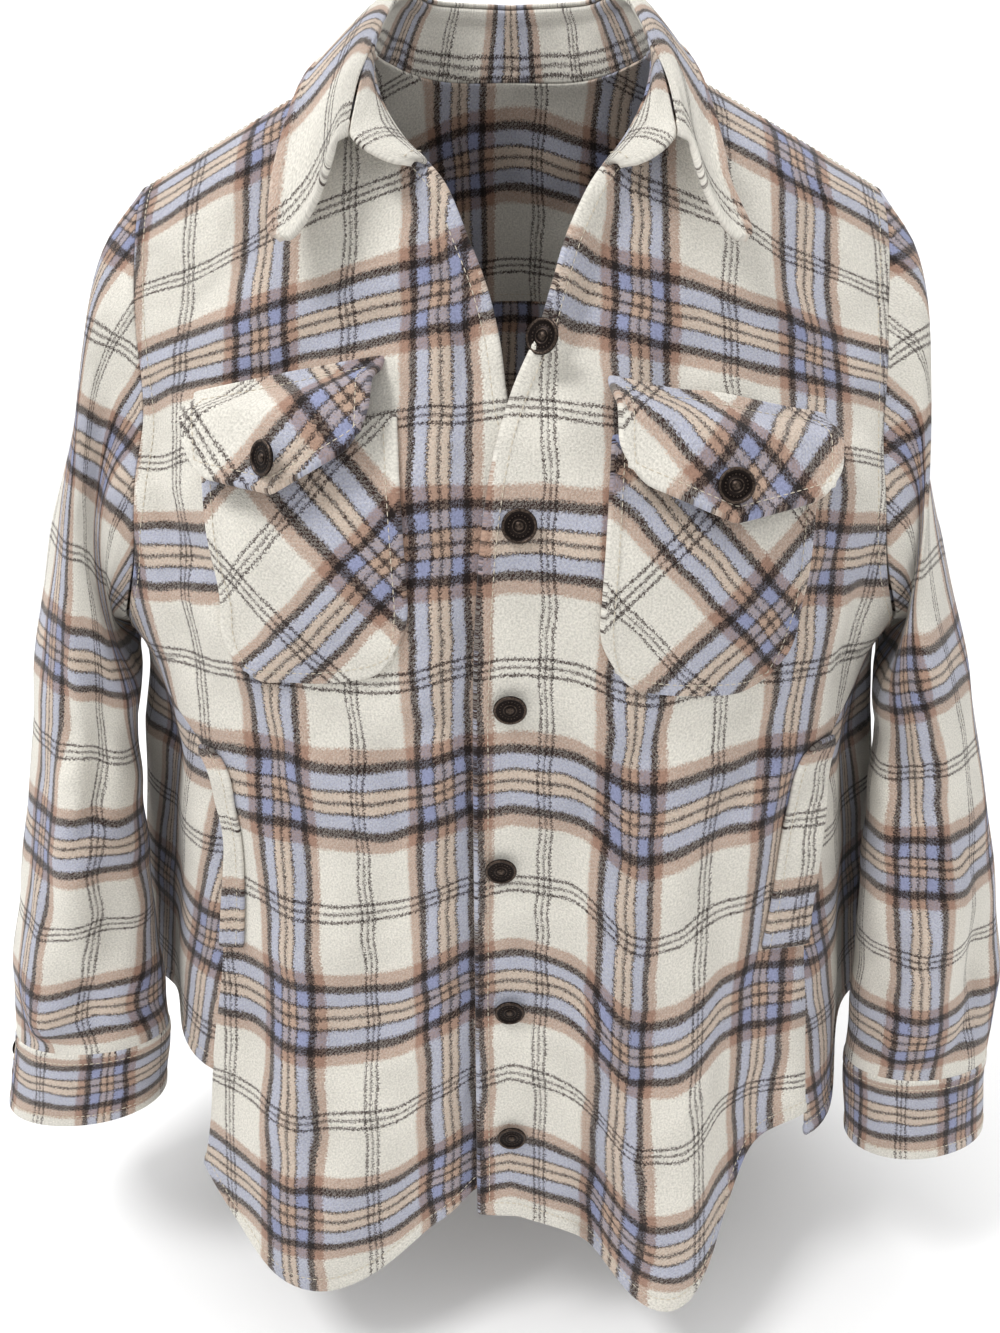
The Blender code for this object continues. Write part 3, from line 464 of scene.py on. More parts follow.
@dataclass
class GarmentPattern:
    """Where the cut lines of the body run on the torso form."""

    torso: TorsoForm
    seam_gap: float = 0.0003
    shoulder_gap: float = 0.0006
    neck_half_width: float = 0.070
    neck_back_reach: float = 0.058
    yoke_front: float = 0.012
    yoke_back_height: float = -0.100
    underarm: float = 0.376
    armhole_top_x: float = 0.193
    armhole_widening: float = 0.033
    seam_common: float = 0.620
    seam_degrees: float = 0.14
    # down, left turn, right turn
    side_seam: Rows = (
        (0.376, 90.0, 90.0),
        (0.400, 67.0, 62.0),
        (0.424, 50.0, 44.0),
        (0.463, 45.0, 39.5),
        (0.513, 42.0, 38.5),
        (0.563, 40.0, 38.5),
        (0.613, 40.5, 39.5),
        (0.686, 41.0, 41.0),
        (0.738, 43.0, 43.5),
    )
    # down, left x, right x
    front_edges: Rows = (
        (0.012, 0.0700, 0.0700),
        (0.041, 0.0690, 0.0690),
        (0.068, 0.0640, 0.0640),
        (0.092, 0.0550, 0.0540),
        (0.112, 0.0440, 0.0410),
        (0.128, 0.0360, 0.0320),
        (0.154, 0.0260, 0.0225),
        (0.180, 0.0190, 0.0135),
        (0.206, 0.0120, 0.0075),
        (0.235, 0.0000, 0.0035),
        (0.270, -0.0090, -0.0060),
        (0.320, -0.0150, -0.0150),
        (0.400, -0.0180, -0.0180),
        (0.795, -0.0180, -0.0180),
    )
    # turn, left height, right height
    front_hem: Rows = (
        (0, -0.622, -0.594),
        (6, -0.640, -0.628),
        (13, -0.676, -0.656),
        (19, -0.672, -0.668),
        (25, -0.634, -0.666),
        (31, -0.604, -0.656),
        (37, -0.586, -0.642),
        (44, -0.580, -0.618),
    )
    back_hem: Rows = (
        (38, -0.600, -0.548),
        (50, -0.598, -0.545),
        (58, -0.575, -0.543),
        (67, -0.560, -0.545),
        (78, -0.566, -0.556),
        (95, -0.604, -0.600),
        (135, -0.675, -0.675),
        (180, -0.700, -0.700),
    )

    def armhole_x(self, down: Array) -> Array:
        """How far out the armhole lies."""
        return self.armhole_top_x + self.armhole_widening * np.minimum(down / self.underarm, 1.0) ** 8

    def seam_turn(self, side: Side, down: Array) -> Array:
        """Degrees round to the side seam."""
        return side.pick(smooth_rows(self.side_seam, down))

    def front_edge(self, side: Side, down: Array) -> Array:
        """How far a front's inner edge lies from the centre line, on its own side."""
        return side.pick(smooth_rows(self.front_edges, down))

    def outer_turn(self, side: Side, down: Array) -> Array:
        """Degrees round to a front's outer edge: the armhole, and below it the side seam."""
        armhole = self.torso.turn_at(self.armhole_x(down) - 2 * self.seam_gap, down)
        return np.where(down < self.underarm, armhole, self.seam_turn(side, down) - self.seam_degrees)

    def edge_down(self, top: Array, hem: Array, row: Array, armhole_rows: int, rows: int) -> Array:
        """How far down a row meets the outer edge of a front or the back.

        Args:
            top: Where the piece starts.
            hem: Where it ends.
            row: The row, which need not be whole.
            armhole_rows: How many of the solid's rows end on the armhole.
            rows: How many rows the solid has.

        Returns:
            Metres down from the shoulder ridge.
        """
        upper = mix(top, self.underarm, 1 - (1 - np.minimum(row / armhole_rows, 1.0)) ** 1.4)
        share = np.maximum(row - armhole_rows, 0.0) / (rows - armhole_rows)
        lower = mix(self.underarm, self.seam_common, share) + (hem - self.seam_common) * share**4
        return np.where(row <= armhole_rows, upper, lower)

    def hem_down(self, turn: Array, rows: Rows) -> Array:
        """How far down the hem is at a turn.

        Args:
            turn: Degrees round from the centre front.
            rows: The hem's heights.

        Returns:
            Metres down from the shoulder ridge.
        """
        away = (turn + 180) % 360 - 180
        left, right = smooth_rows(rows, np.abs(away))
        height = np.where(away > 0, left, right)
        return falling_root(lambda down: self.torso.section(down)[0], height, 0.5, self.torso.sections[-1][0])

    def neck_over(self, share: Array) -> tuple[Array, Array]:
        """The neckline round the back of the neck.

        Args:
            share: From 0 at the right shoulder to 1 at the left one.

        Returns:
            x, and the distance over the shoulder ridge.
        """
        angle = np.pi * share
        over = mix(-self.yoke_front, self.neck_back_reach, np.sin(angle) ** 0.9)
        return -self.neck_half_width * np.cos(angle), over

    def over_ridge(self, x: Array, over: Array) -> tuple[Array, Array]:
        """A place near the shoulder ridge, on the torso form.

        Args:
            x: How far it is from the centre line, plus to the left.
            over: How far it is over the ridge, minus in front and plus behind.

        Returns:
            Its turn and down.
        """
        down = np.abs(over)
        turn = self.torso.turn_at(x, down)
        return np.where(over > 0, 180 - turn, turn), down


# Cloth


@dataclass
class ClothPiece:
    """One cut piece: its surface, how its borders are finished, and what it stands for."""

    node: str
    slot: Slot
    surface: Surface
    turned: tuple[Border, ...]
    flat: Span
    area: float
    held: str = "stretched"
    rests_on: tuple[str, ...] = ()
    closed: bool = False
    cell: float = 0.0042
    wall: float = 0.0021
    bead: float = 0.0016
    inset: float = 0.006
    thread_lift: float = 0.0002
    groove_depth: float = 0.0006
    groove_width: float = 0.0009
    outer: Array = field(default_factory=lambda: np.zeros((0, 0, 3)))
    normals: Array = field(default_factory=lambda: np.zeros((0, 0, 3)))

    def spacing(self, length: float, start: bool, end: bool) -> Array:
        """Distances of the grid's lines along a side, close together at turned borders.

        Args:
            length: The side's length.
            start: Whether its start is turned.
            end: Whether its end is turned.

        Returns:
            Shares of the length, from 0 to 1.
        """
        fine = np.array([0.0, 0.0009, 0.002, 0.0034, 0.0048, 0.006, 0.0072, 0.009])
        fine = fine[fine < 0.4 * length]
        low = fine if start else np.array([0.0])
        high = length - fine[::-1] if end else np.array([length])
        count = max(int((high[0] - low[-1]) / self.cell), 2)
        middle = np.linspace(low[-1], high[0], count + 1)[1:-1]
        return np.concatenate((low, middle, high)) / length

    def grid(self) -> tuple[Array, Array]:
        """Sample the surface so that the grid's lines are evenly spaced in metres.

        Returns:
            The points, and their place on the cloth.
        """
        trial = np.linspace(0.0, 1.0, 49)
        u, v = np.meshgrid(trial, trial)
        points, _ = self.surface(u, v)
        across = lengths(points, 1).mean(axis=0).cumsum()
        along = lengths(points, 0).mean(axis=1).cumsum()
        across, along = np.insert(across, 0, 0.0), np.insert(along, 0, 0.0)
        columns = self.spacing(across[-1], Border.FIRST in self.turned, Border.LAST in self.turned)
        rows = self.spacing(along[-1], Border.TOP in self.turned, Border.BOTTOM in self.turned)
        u, v = np.meshgrid(
            np.interp(columns, across / across[-1], trial), np.interp(rows, along / along[-1], trial)
        )
        return self.surface(u, v)

    def directions(self, points: Array) -> tuple[Array, Array, Array]:
        """The directions across and down each grid point, and straight out of the cloth.

        Args:
            points: The grid, with its first column repeated at the end where it is closed.

        Returns:
            Across, down and out, of length 1.
        """
        if self.closed:
            wrapped = np.concatenate((points[:, -2:-1], points, points[:, 1:2]), axis=1)
            across = unit(wrapped[:, 2:] - wrapped[:, :-2])
        else:
            across = unit(np.gradient(points, axis=1))
        down = unit(np.gradient(points, axis=0))
        return across, down, unit(np.cross(down, across))

    def distance_from(self, border: Border, points: Array) -> Array:
        """Each point's distance along the cloth from a border.

        Args:
            border: The border.
            points: The grid.

        Returns:
            Metres.
        """
        axis = 0 if border in (Border.TOP, Border.BOTTOM) else 1
        pad = [(1, 0) if n == axis else (0, 0) for n in range(2)]
        distance = np.cumsum(np.pad(lengths(points, axis), pad), axis=axis)
        if border in (Border.BOTTOM, Border.LAST):
            distance = np.max(distance, axis=axis, keepdims=True) - distance
        return distance

    def half_thickness(self, points: Array) -> Array:
        """Half the cloth's thickness: puffed at a turned border, and pinched at its stitching.

        Args:
            points: The grid.

        Returns:
            Metres.
        """
        near = np.full(points.shape[:2], 1.0)
        for border in self.turned:
            near = np.minimum(near, self.distance_from(border, points))
        puff = self.bead * (1 - ease(self.inset - 0.0012, self.inset + 0.0014, near))
        groove = self.groove_depth * bell(near - self.inset, self.groove_width)
        return (self.wall + puff - groove) / 2

    def shell(self, points: Array, cloth: Array) -> bpy.types.Mesh:
        """Give the grid its thickness, with half-round borders.

        Args:
            points: The middle of the cloth.
            cloth: Each point's place on the cloth, in metres.

        Returns:
            A closed mesh with the places on the cloth as its UV map.
        """
        across, down, out = self.directions(points)
        half = self.half_thickness(points)[..., None]
        rows, columns = points.shape[:2]
        count = columns - 1 if self.closed else columns
        self.outer, self.normals = points + out * half, out
        vertices = [(points + way * half)[:, :count].reshape(-1, 3) for way in (out, -out)]
        layer = rows * count

        def index(j: Array, i: Array) -> Array:
            """The number of the outer vertex at a row and column."""
            return j * count + i % count

        j, i = (n.ravel() for n in np.meshgrid(np.arange(rows - 1), np.arange(columns - 1), indexing="ij"))
        corners = ((j, i), (j + 1, i), (j + 1, i + 1), (j, i + 1))
        outer = np.stack([index(*corner) for corner in corners], axis=1)
        places = np.stack([cloth[corner] for corner in corners], axis=1)
        faces = [outer, outer[:, ::-1] + layer]
        uvs = [places, places[:, ::-1]]

        top = [(0, n) for n in range(columns)]
        last = [(n, columns - 1) for n in range(rows)]
        if self.closed:
            loops = [top, [(rows - 1, n) for n in range(columns - 1, -1, -1)]]
        else:
            bottom = [(rows - 1, n) for n in range(columns - 2, -1, -1)]
            loops = [top + last[1:] + bottom + [(n, 0) for n in range(rows - 2, -1, -1)]]
        start = 2 * layer
        for loop in loops:
            j, i = np.array(loop).T
            outward = down[j, i] * (j == rows - 1)[:, None] - down[j, i] * (j == 0)[:, None]
            if not self.closed:
                outward = outward - across[j, i] * (i == 0)[:, None] + across[j, i] * (i == columns - 1)[:, None]
            normal = out[j, i]
            outward = unit(outward - normal * np.sum(outward * normal, axis=1, keepdims=True))
            rings = [index(j, i)]
            for angle in (math.pi / 4, math.pi / 2, 3 * math.pi / 4):
                arc = points[j, i] + half[j, i] * (normal * math.cos(angle) + outward * math.sin(angle))
                vertices.append(arc[:-1])
                ring = start + np.arange(len(loop) - 1)
                rings.append(np.append(ring, ring[0]))
                start += len(loop) - 1
            rings.append(index(j, i) + layer)
            for near, far in zip(rings, rings[1:]):
                faces.append(np.stack((near[:-1], near[1:], far[1:], far[:-1]), axis=1))
                here, there = cloth[j[:-1], i[:-1]], cloth[j[1:], i[1:]]
                uvs.append(np.stack((here, there, there, here), axis=1))

        mesh = bpy.data.meshes.new(self.node)
        mesh.from_pydata(np.concatenate(vertices).tolist(), [], np.concatenate(faces).tolist())
        mesh.uv_layers.new(name="Cloth").data.foreach_set("uv", np.concatenate(uvs).ravel())
        mesh.shade_smooth()
        return mesh

    def build(self, wardrobe: Wardrobe, stitching: Stitching, seams: Seams = ()) -> ClothPiece:
        """Make the piece, attach it to the body, hide the solid that it stands for, and add its stitching.

        Args:
            wardrobe: The finishes.
            stitching: What collects the rows of stitches.
            seams: The piece's rows of stitches.

        Returns:
            The piece itself.
        """
        mesh = self.shell(*self.grid())
        mesh.materials.append(wardrobe.cloth[self.slot])
        piece = new_object(f"{self.node}_cloth", mesh)
        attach(piece, BODY)
        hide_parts(self.node)
        surface = sum(polygon.area for polygon in mesh.polygons) / 2
        LOG.info("%s: %d faces, %.4f m2 of %.4f cut", piece.name, len(mesh.polygons), surface, self.area)
        stitching.add(*(self.line(*seam) for seam in seams))
        return self

    def line(self, border: Border, inset: float, trim: Span = (0.0, 0.0)) -> Array:
        """A line on the outside of the cloth, at a distance from a border.

        Args:
            border: The border that it follows.
            inset: Its distance from the border.
            trim: The lengths to leave off at its two ends.

        Returns:
            The line's points.
        """
        grid = self.outer + self.normals * self.thread_lift
        if border in (Border.TOP, Border.BOTTOM):
            grid = np.swapaxes(grid, 0, 1)
        if border in (Border.LAST, Border.BOTTOM):
            grid = grid[:, ::-1]
        distance = np.cumsum(np.pad(lengths(grid, 1), ((0, 0), (1, 0))), axis=1)
        after = np.clip((distance < inset).sum(axis=1), 1, grid.shape[1] - 1)
        each = np.arange(len(grid))
        before = distance[each, after - 1]
        share = np.clip((inset - before) / (distance[each, after] - before), 0, 1)[:, None]
        points = mix(grid[each, after - 1], grid[each, after], share)
        run = np.insert(lengths(points, 0).cumsum(), 0, 0.0)
        keep = (run >= trim[0]) & (run <= run[-1] - trim[1])
        return points[keep]


def rounded(u: Array, v: Array, size: Span, radii: dict[tuple[int, int], float]) -> tuple[Array, Array]:
    """Move places in from a piece's corners, so that its outline is round there.

    Args:
        u: Places across, from 0 to 1.
        v: Places down, from 0 to 1.
        size: The piece's rough width and height.
        radii: The radius at each corner, which is named by its u and v.

    Returns:
        The new u and v.
    """
    new_u, new_v = u.copy(), v.copy()
    for (corner_u, corner_v), radius in radii.items():
        x = 1 - np.abs(u - corner_u) * size[0] / radius
        y = 1 - np.abs(v - corner_v) * size[1] / radius
        inside = (x > 0) & (y > 0)
        bent_x = x * np.sqrt(1 - np.clip(y, 0, 1) ** 2 / 2)
        bent_y = y * np.sqrt(1 - np.clip(x, 0, 1) ** 2 / 2)
        in_u, in_v = (1 - 2 * corner_u), (1 - 2 * corner_v)
        new_u = np.where(inside, corner_u + in_u * (1 - bent_x) * radius / size[0], new_u)
        new_v = np.where(inside, corner_v + in_v * (1 - bent_y) * radius / size[1], new_v)
    return new_u, new_v


def bias(x: Array, y: Array, degrees: float, offset: Span) -> Array:
    """Places on a cloth that is cut across the grain.

    Args:
        x: Metres across the piece.
        y: Metres down it.
        degrees: How far the grain is turned.
        offset: What to add along the two grains.

    Returns:
        Places on the cloth.
    """
    angle = math.radians(degrees)
    across = x * math.cos(angle) + y * math.sin(angle) + offset[0]
    along = -x * math.sin(angle) + y * math.cos(angle) + offset[1]
    return np.stack((across, along), axis=-1)


# Finishes


def set_inputs(tree: Tree, node: bpy.types.Node, inputs: Inputs) -> None:
    """Give a node's inputs, by name or number, their values or the sockets that feed them."""
    for key, value in inputs.items():
        if isinstance(value, Socket):
            tree.links.new(value, node.inputs[key])
        else:
            node.inputs[key].default_value = value


def add_node(
    tree: Tree, kind: str, settings: dict[str, str] | None = None, inputs: Inputs | None = None
) -> bpy.types.Node:
    """Add a node with its settings, values and links.

    Args:
        tree: The tree that gets the node.
        kind: The node's type.
        settings: Its properties by name.
        inputs: For each input, by name or number, a value or the socket that feeds it.

    Returns:
        The new node.
    """
    node = tree.nodes.new(kind)
    for name, value in (settings or {}).items():
        setattr(node, name, value)
    set_inputs(tree, node, inputs or {})
    return node


def maths(tree: Tree, operation: str, *values: Value) -> Socket:
    """The result of a Math node."""
    return add_node(tree, "ShaderNodeMath", {"operation": operation}, dict(enumerate(values))).outputs[0]


def vectors(tree: Tree, operation: str, *values: Value) -> Socket:
    """The result of a Vector Math node."""
    return add_node(tree, "ShaderNodeVectorMath", {"operation": operation}, dict(enumerate(values))).outputs[0]


def spread(tree: Tree, value: Socket, given: Span, wanted: Span, kind: str = "LINEAR") -> Socket:
    """The result of a Map Range node, from one span to another."""
    inputs = {"Value": value, "From Min": given[0], "From Max": given[1], "To Min": wanted[0], "To Max": wanted[1]}
    return add_node(tree, "ShaderNodeMapRange", {"interpolation_type": kind}, inputs).outputs[0]


def blend(tree: Tree, share: Socket, first: Value, last: Value) -> Socket:
    """The colour part of the way from first to last."""
    inputs = {"Factor": share, "A": first, "B": last}
    return add_node(tree, "ShaderNodeMix", {"data_type": "RGBA"}, inputs).outputs["Result"]


def noise(tree: Tree, place: Socket, scale: float, detail: float = 2.0, dimensions: str = "3D") -> bpy.types.Node:
    """A Noise Texture node."""
    inputs = {"Vector": place, "Scale": scale, "Detail": detail}
    return add_node(tree, "ShaderNodeTexNoise", {"noise_dimensions": dimensions}, inputs)


def bump(tree: Tree, strength: float, distance: float, height: Socket, under: Inputs | None = None) -> Socket:
    """The normal from a Bump node, over the one that under gives."""
    inputs = {"Strength": strength, "Distance": distance, "Height": height, **(under or {})}
    return add_node(tree, "ShaderNodeBump", None, inputs).outputs[0]


def new_material(name: str) -> tuple[Material, Tree, bpy.types.Node]:
    """Start a finish.

    Args:
        name: Its name.

    Returns:
        The material, its nodes and its shader.
    """
    material = bpy.data.materials.new(name)
    material.use_nodes = True
    return material, material.node_tree, material.node_tree.nodes["Principled BSDF"]


@dataclass(frozen=True)
class BrushedPlaid:
    """Brushed cotton flannel, woven as a 2/2 twill plaid: matt, soft, with a raised nap."""

    name: str
    # Each colour is what the yarn gives where it crosses ivory
    ivory: str = "FFFFFF"
    tan: str = "D3BAAF"
    peach: str = "E6D4CA"
    blue: str = "C6CDEB"
    dark: str = "3A2320"
    ground: str = "DAD6CC"
    weft_repeat: float = 125.5 * MM
    warp_repeat: float = 92.0 * MM
    # The slant of the weave repeats each 2.6 mm across, over twice the real one, so that it shows
    twill: float = 2.6 * MM
    hatch: float = 0.24
    nap: float = 1.1 * MM
    blur: float = 1.5
    # How far the nap and the cloth's slow waviness carry a colour
    nap_reach: float = 4.2 * MM
    drift_reach: float = 5.0 * MM
    # Millimetres from the middle of the weft's group of bands at which each band starts
    bands: tuple[tuple[float, str], ...] = (
        (0.0, "dark"), (0.9, "peach"), (5.8, "dark"), (6.9, "blue"), (15.0, "dark"),
        (20.2, "tan"), (27.0, "ivory"), (57.9, "dark"), (58.9, "ivory"), (62.2, "dark"),
    )

    def band_colours(self, tree: Tree, place: Socket, repeat: float) -> Socket:
        """Colour the yarns of one direction by their place across the bands.

        Args:
            tree: The material's nodes.
            place: Metres across the bands.
            repeat: The size of the plaid's repeat.

        Returns:
            The yarn's colour.
        """
        half = self.weft_repeat / MM / 2
        share = maths(tree, "DIVIDE", maths(tree, "PINGPONG", place, repeat / 2), repeat / 2)
        ramp = add_node(tree, "ShaderNodeValToRGB", None, {"Fac": share})
        elements = ramp.color_ramp.elements
        elements.remove(elements[1])
        elements[0].position, elements[0].color = 0.0, linear(getattr(self, self.bands[0][1]))
        for (start, colour), (_, earlier) in zip(self.bands[1:], self.bands):
            elements.new((start - self.blur / 2) / half).color = linear(getattr(self, earlier))
            elements.new((start + self.blur / 2) / half).color = linear(getattr(self, colour))
        return ramp.outputs["Color"]

    def material(self) -> Material:
        """Make the finish.

        Returns:
            The material, which reads the piece's own UV map, in metres.
        """
        material, tree, shader = new_material(self.name)
        cloth = add_node(tree, "ShaderNodeUVMap", {"uv_map": "Cloth"}).outputs["UV"]
        fuzz = noise(tree, cloth, 1 / self.nap, 2.0, "2D")
        drift = noise(tree, cloth, 28.0, 1.0, "2D")
        # The nap carries each colour a little way over its neighbour
        moved = cloth
        for texture, reach in ((fuzz, self.nap_reach), (drift, self.drift_reach)):
            centred = vectors(tree, "SUBTRACT", texture.outputs["Color"], (0.5, 0.5, 0.5))
            moved = vectors(tree, "MULTIPLY_ADD", centred, (reach, reach, 0.0), moved)
        place = add_node(tree, "ShaderNodeSeparateXYZ", None, {0: moved}).outputs
        warp = self.band_colours(tree, place["X"], self.warp_repeat)
        weft = self.band_colours(tree, place["Y"], self.weft_repeat)
        slant = maths(tree, "ADD", place["X"], place["Y"])
        ribs = maths(tree, "SINE", maths(tree, "MULTIPLY", slant, 2 * math.pi / self.twill))
        # White shows through both yarns, more where a rib of the other passes over
        over = spread(tree, ribs, (-0.5, 0.5), (0.0, self.hatch), "SMOOTHSTEP")
        under = maths(tree, "SUBTRACT", self.hatch, over)
        shown = [blend(tree, share, yarn, linear(self.ivory)) for share, yarn in ((over, weft), (under, warp))]
        woven = vectors(tree, "MULTIPLY", vectors(tree, "MULTIPLY", *shown), linear(self.ground)[:3])
        grain = spread(tree, fuzz.outputs["Fac"], (0.25, 0.75), (0.78, 1.12))
        patches = spread(tree, drift.outputs["Fac"], (0.3, 0.7), (0.94, 1.03))
        tone = {0: woven, "Scale": maths(tree, "MULTIPLY", grain, patches)}
        worn = add_node(tree, "ShaderNodeVectorMath", {"operation": "SCALE"}, tone).outputs[0]
        nap = bump(tree, 0.75, 0.6 * MM, maths(tree, "MULTIPLY_ADD", ribs, 0.16, fuzz.outputs["Fac"]))
        # Soft puckers of about 4 cm
        puckers = bump(tree, 0.6, 9.0 * MM, drift.outputs["Fac"], {"Normal": nap})
        set_inputs(tree, shader, {"Base Color": worn, "Normal": puckers, "Roughness": 0.93})
        set_inputs(tree, shader, {"Specular IOR Level": 0.22, "Sheen Weight": 0.12, "Sheen Roughness": 0.55})
        return material


@dataclass(frozen=True)
class SpunThread:
    """Spun cotton sewing thread: matt, with a faint twist."""

    name: str = "spun cotton thread"
    colour: str = "D8CFBE"
    shadow: str = "B9AE9A"
    twist: float = 1.2 * MM

    def material(self) -> Material:
        """Make the finish.

        Returns:
            The material.
        """
        material, tree, shader = new_material(self.name)
        place = add_node(tree, "ShaderNodeTexCoord").outputs["Object"]
        twisted = noise(tree, place, 1 / self.twist).outputs["Fac"]
        shade = blend(tree, twisted, linear(self.shadow), linear(self.colour))
        set_inputs(tree, shader, {"Base Color": shade, "Roughness": 0.8})
        return material


@dataclass(frozen=True)
class AgedBronze:
    """Cast brass with a dark antique patina, rubbed bright on its raised parts."""

    name: str = "antique bronze, rubbed"
    patina: str = "1C1614"
    rubbed: str = "6E5F54"

    def material(self) -> Material:
        """Make the finish.

        Returns:
            The material, which reads the button's own height attribute.
        """
        material, tree, shader = new_material(self.name)
        place = add_node(tree, "ShaderNodeTexCoord").outputs["Object"]
        raised = add_node(tree, "ShaderNodeAttribute", {"attribute_name": "raised"}).outputs["Fac"]
        # Patina gathers in spots of about 1 mm
        spots = noise(tree, place, 1000.0, 4.0).outputs["Fac"]
        share = spread(tree, maths(tree, "MULTIPLY", raised, spots), (0.30, 0.75), (0.0, 0.75))
        colour = blend(tree, share, linear(self.patina), linear(self.rubbed))
        rough = spread(tree, spots, (0.0, 1.0), (0.28, 0.55))
        inputs = {"Base Color": colour, "Roughness": rough, "Normal": bump(tree, 0.3, 0.2 * MM, spots), "Metallic": 0.9}
        set_inputs(tree, shader, inputs)
        return material


@dataclass(frozen=True)
class PaleFloor:
    """Seamless studio paper: matt and near white."""

    name: str = "studio paper"
    colour: str = "FAFAFA"

    def material(self) -> Material:
        """Make the finish.

        Returns:
            The material.
        """
        material, tree, shader = new_material(self.name)
        set_inputs(tree, shader, {"Base Color": linear(self.colour), "Roughness": 1.0})
        return material


@dataclass
class Wardrobe:
    """The finishes that the pieces take, one for each of the record's slots."""

    cloth: dict[Slot, Material] = field(
        default_factory=lambda: {
            Slot.MAIN: BrushedPlaid("brushed plaid flannel, main").material(),
            Slot.POCKET: BrushedPlaid("brushed plaid flannel, pockets and cuffs").material(),
            Slot.TRIM: BrushedPlaid("brushed plaid flannel, yoke and flaps").material(),
        }
    )
    thread: Material = field(default_factory=SpunThread().material)
    bronze: Material = field(default_factory=AgedBronze().material)


# Stitching


def node_group(name: str, inputs: dict[str, str], output: str) -> tuple[Tree, bpy.types.NodeOutputs]:
    """Start a Geometry Nodes tree.

    Args:
        name: Its name.
        inputs: The kind of each named input.
        output: The name of the geometry that it makes.

    Returns:
        The tree, and its inputs for its nodes to use.
    """
    tree = bpy.data.node_groups.new(name, "GeometryNodeTree")
    for label, kind in inputs.items():
        tree.interface.new_socket(label, in_out="INPUT", socket_type=f"NodeSocket{kind}")
    tree.interface.new_socket(output, in_out="OUTPUT", socket_type="NodeSocketGeometry")
    return tree, add_node(tree, "NodeGroupInput").outputs


def grown_mesh(host: bpy.types.Object, tree: Tree, values: dict[str, object]) -> bpy.types.Mesh:
    """Run a tree on an object, keep what it makes as a plain mesh, and remove the object.

    Args:
        host: The object, which holds the tree's geometry.
        tree: The Geometry Nodes tree.
        values: The tree's inputs by name.

    Returns:
        The mesh.
    """
    modifier = host.modifiers.new(tree.name, "NODES")
    modifier.node_group = tree
    for item in tree.interface.items_tree:
        if item.item_type == "SOCKET" and item.name in values:
            modifier[item.identifier] = values[item.name]
    mesh = bpy.data.meshes.new_from_object(host.evaluated_get(bpy.context.evaluated_depsgraph_get()))
    host.modifiers.remove(modifier)
    bpy.data.objects.remove(host)
    return mesh


@dataclass
class Stitching:
    """Rows of topstitching, laid by Geometry Nodes along lines on the cloth."""

    pitch: float = 3.6 * MM
    length: float = 2.7 * MM
    thickness: float = 0.55 * MM
    lines: list[Array] = field(default_factory=list)

    def add(self, *lines: Array) -> None:
        """Keep lines to be sewn."""
        self.lines.extend(line for line in lines if len(line) > 2)

    def tree(self) -> Tree:
        """Build the nodes that lay one stitch after another along each line.

        Returns:
            The node tree, with its sizes and material as named inputs.
        """
        sizes = {name: "Float" for name in ("Pitch", "Stitch length", "Thread thickness")}
        inputs = {"Lines": "Geometry", **sizes, "Thread": "Material"}
        tree, given = node_group("Topstitching", inputs, "Stitches")
        path = {"Curve": given["Lines"], "Length": given["Pitch"]}
        points = add_node(tree, "GeometryNodeCurveToPoints", {"mode": "LENGTH"}, path).outputs
        turned = add_node(tree, "FunctionNodeAlignRotationToVector", {"axis": "Z"}, {"Vector": points["Tangent"]})
        ball = add_node(tree, "GeometryNodeMeshUVSphere", None, {"Segments": 6, "Rings": 4, "Radius": 0.5})
        thick = given["Thread thickness"]
        scale = add_node(tree, "ShaderNodeCombineXYZ", None, {0: thick, 1: thick, 2: given["Stitch length"]})
        stitch = {"Instance": ball.outputs["Mesh"], "Rotation": turned.outputs[0], "Scale": scale.outputs[0]}
        laid = add_node(tree, "GeometryNodeInstanceOnPoints", None, {"Points": points["Points"], **stitch})
        real = add_node(tree, "GeometryNodeRealizeInstances", None, {0: laid.outputs[0]})
        smooth = add_node(tree, "GeometryNodeSetShadeSmooth", None, {"Geometry": real.outputs[0]})
        thread = {"Geometry": smooth.outputs[0], "Material": given["Thread"]}
        dressed = add_node(tree, "GeometryNodeSetMaterial", None, thread)
        add_node(tree, "NodeGroupOutput", None, {0: dressed.outputs[0]})
        return tree

    def build(self, thread: Material) -> None:
        """Sew every line that was added, as one plain mesh.

        Args:
            thread: The thread's finish.
        """
        curve = bpy.data.curves.new("stitch_lines", "CURVE")
        curve.dimensions = "3D"
        for line in self.lines:
            spline = curve.splines.new("POLY")
            spline.points.add(len(line) - 1)
            spline.points.foreach_set("co", np.pad(line, ((0, 0), (0, 1)), constant_values=1.0).ravel())
        sizes = {"Pitch": self.pitch, "Stitch length": self.length, "Thread thickness": self.thickness}
        mesh = grown_mesh(new_object("stitch_lines", curve), self.tree(), {**sizes, "Thread": thread})
        stitches = new_object("topstitching", mesh)
        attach(stitches, BODY)
        LOG.info("%s: %d rows, %d faces", stitches.name, len(self.lines), len(mesh.polygons))


# The garment's parts


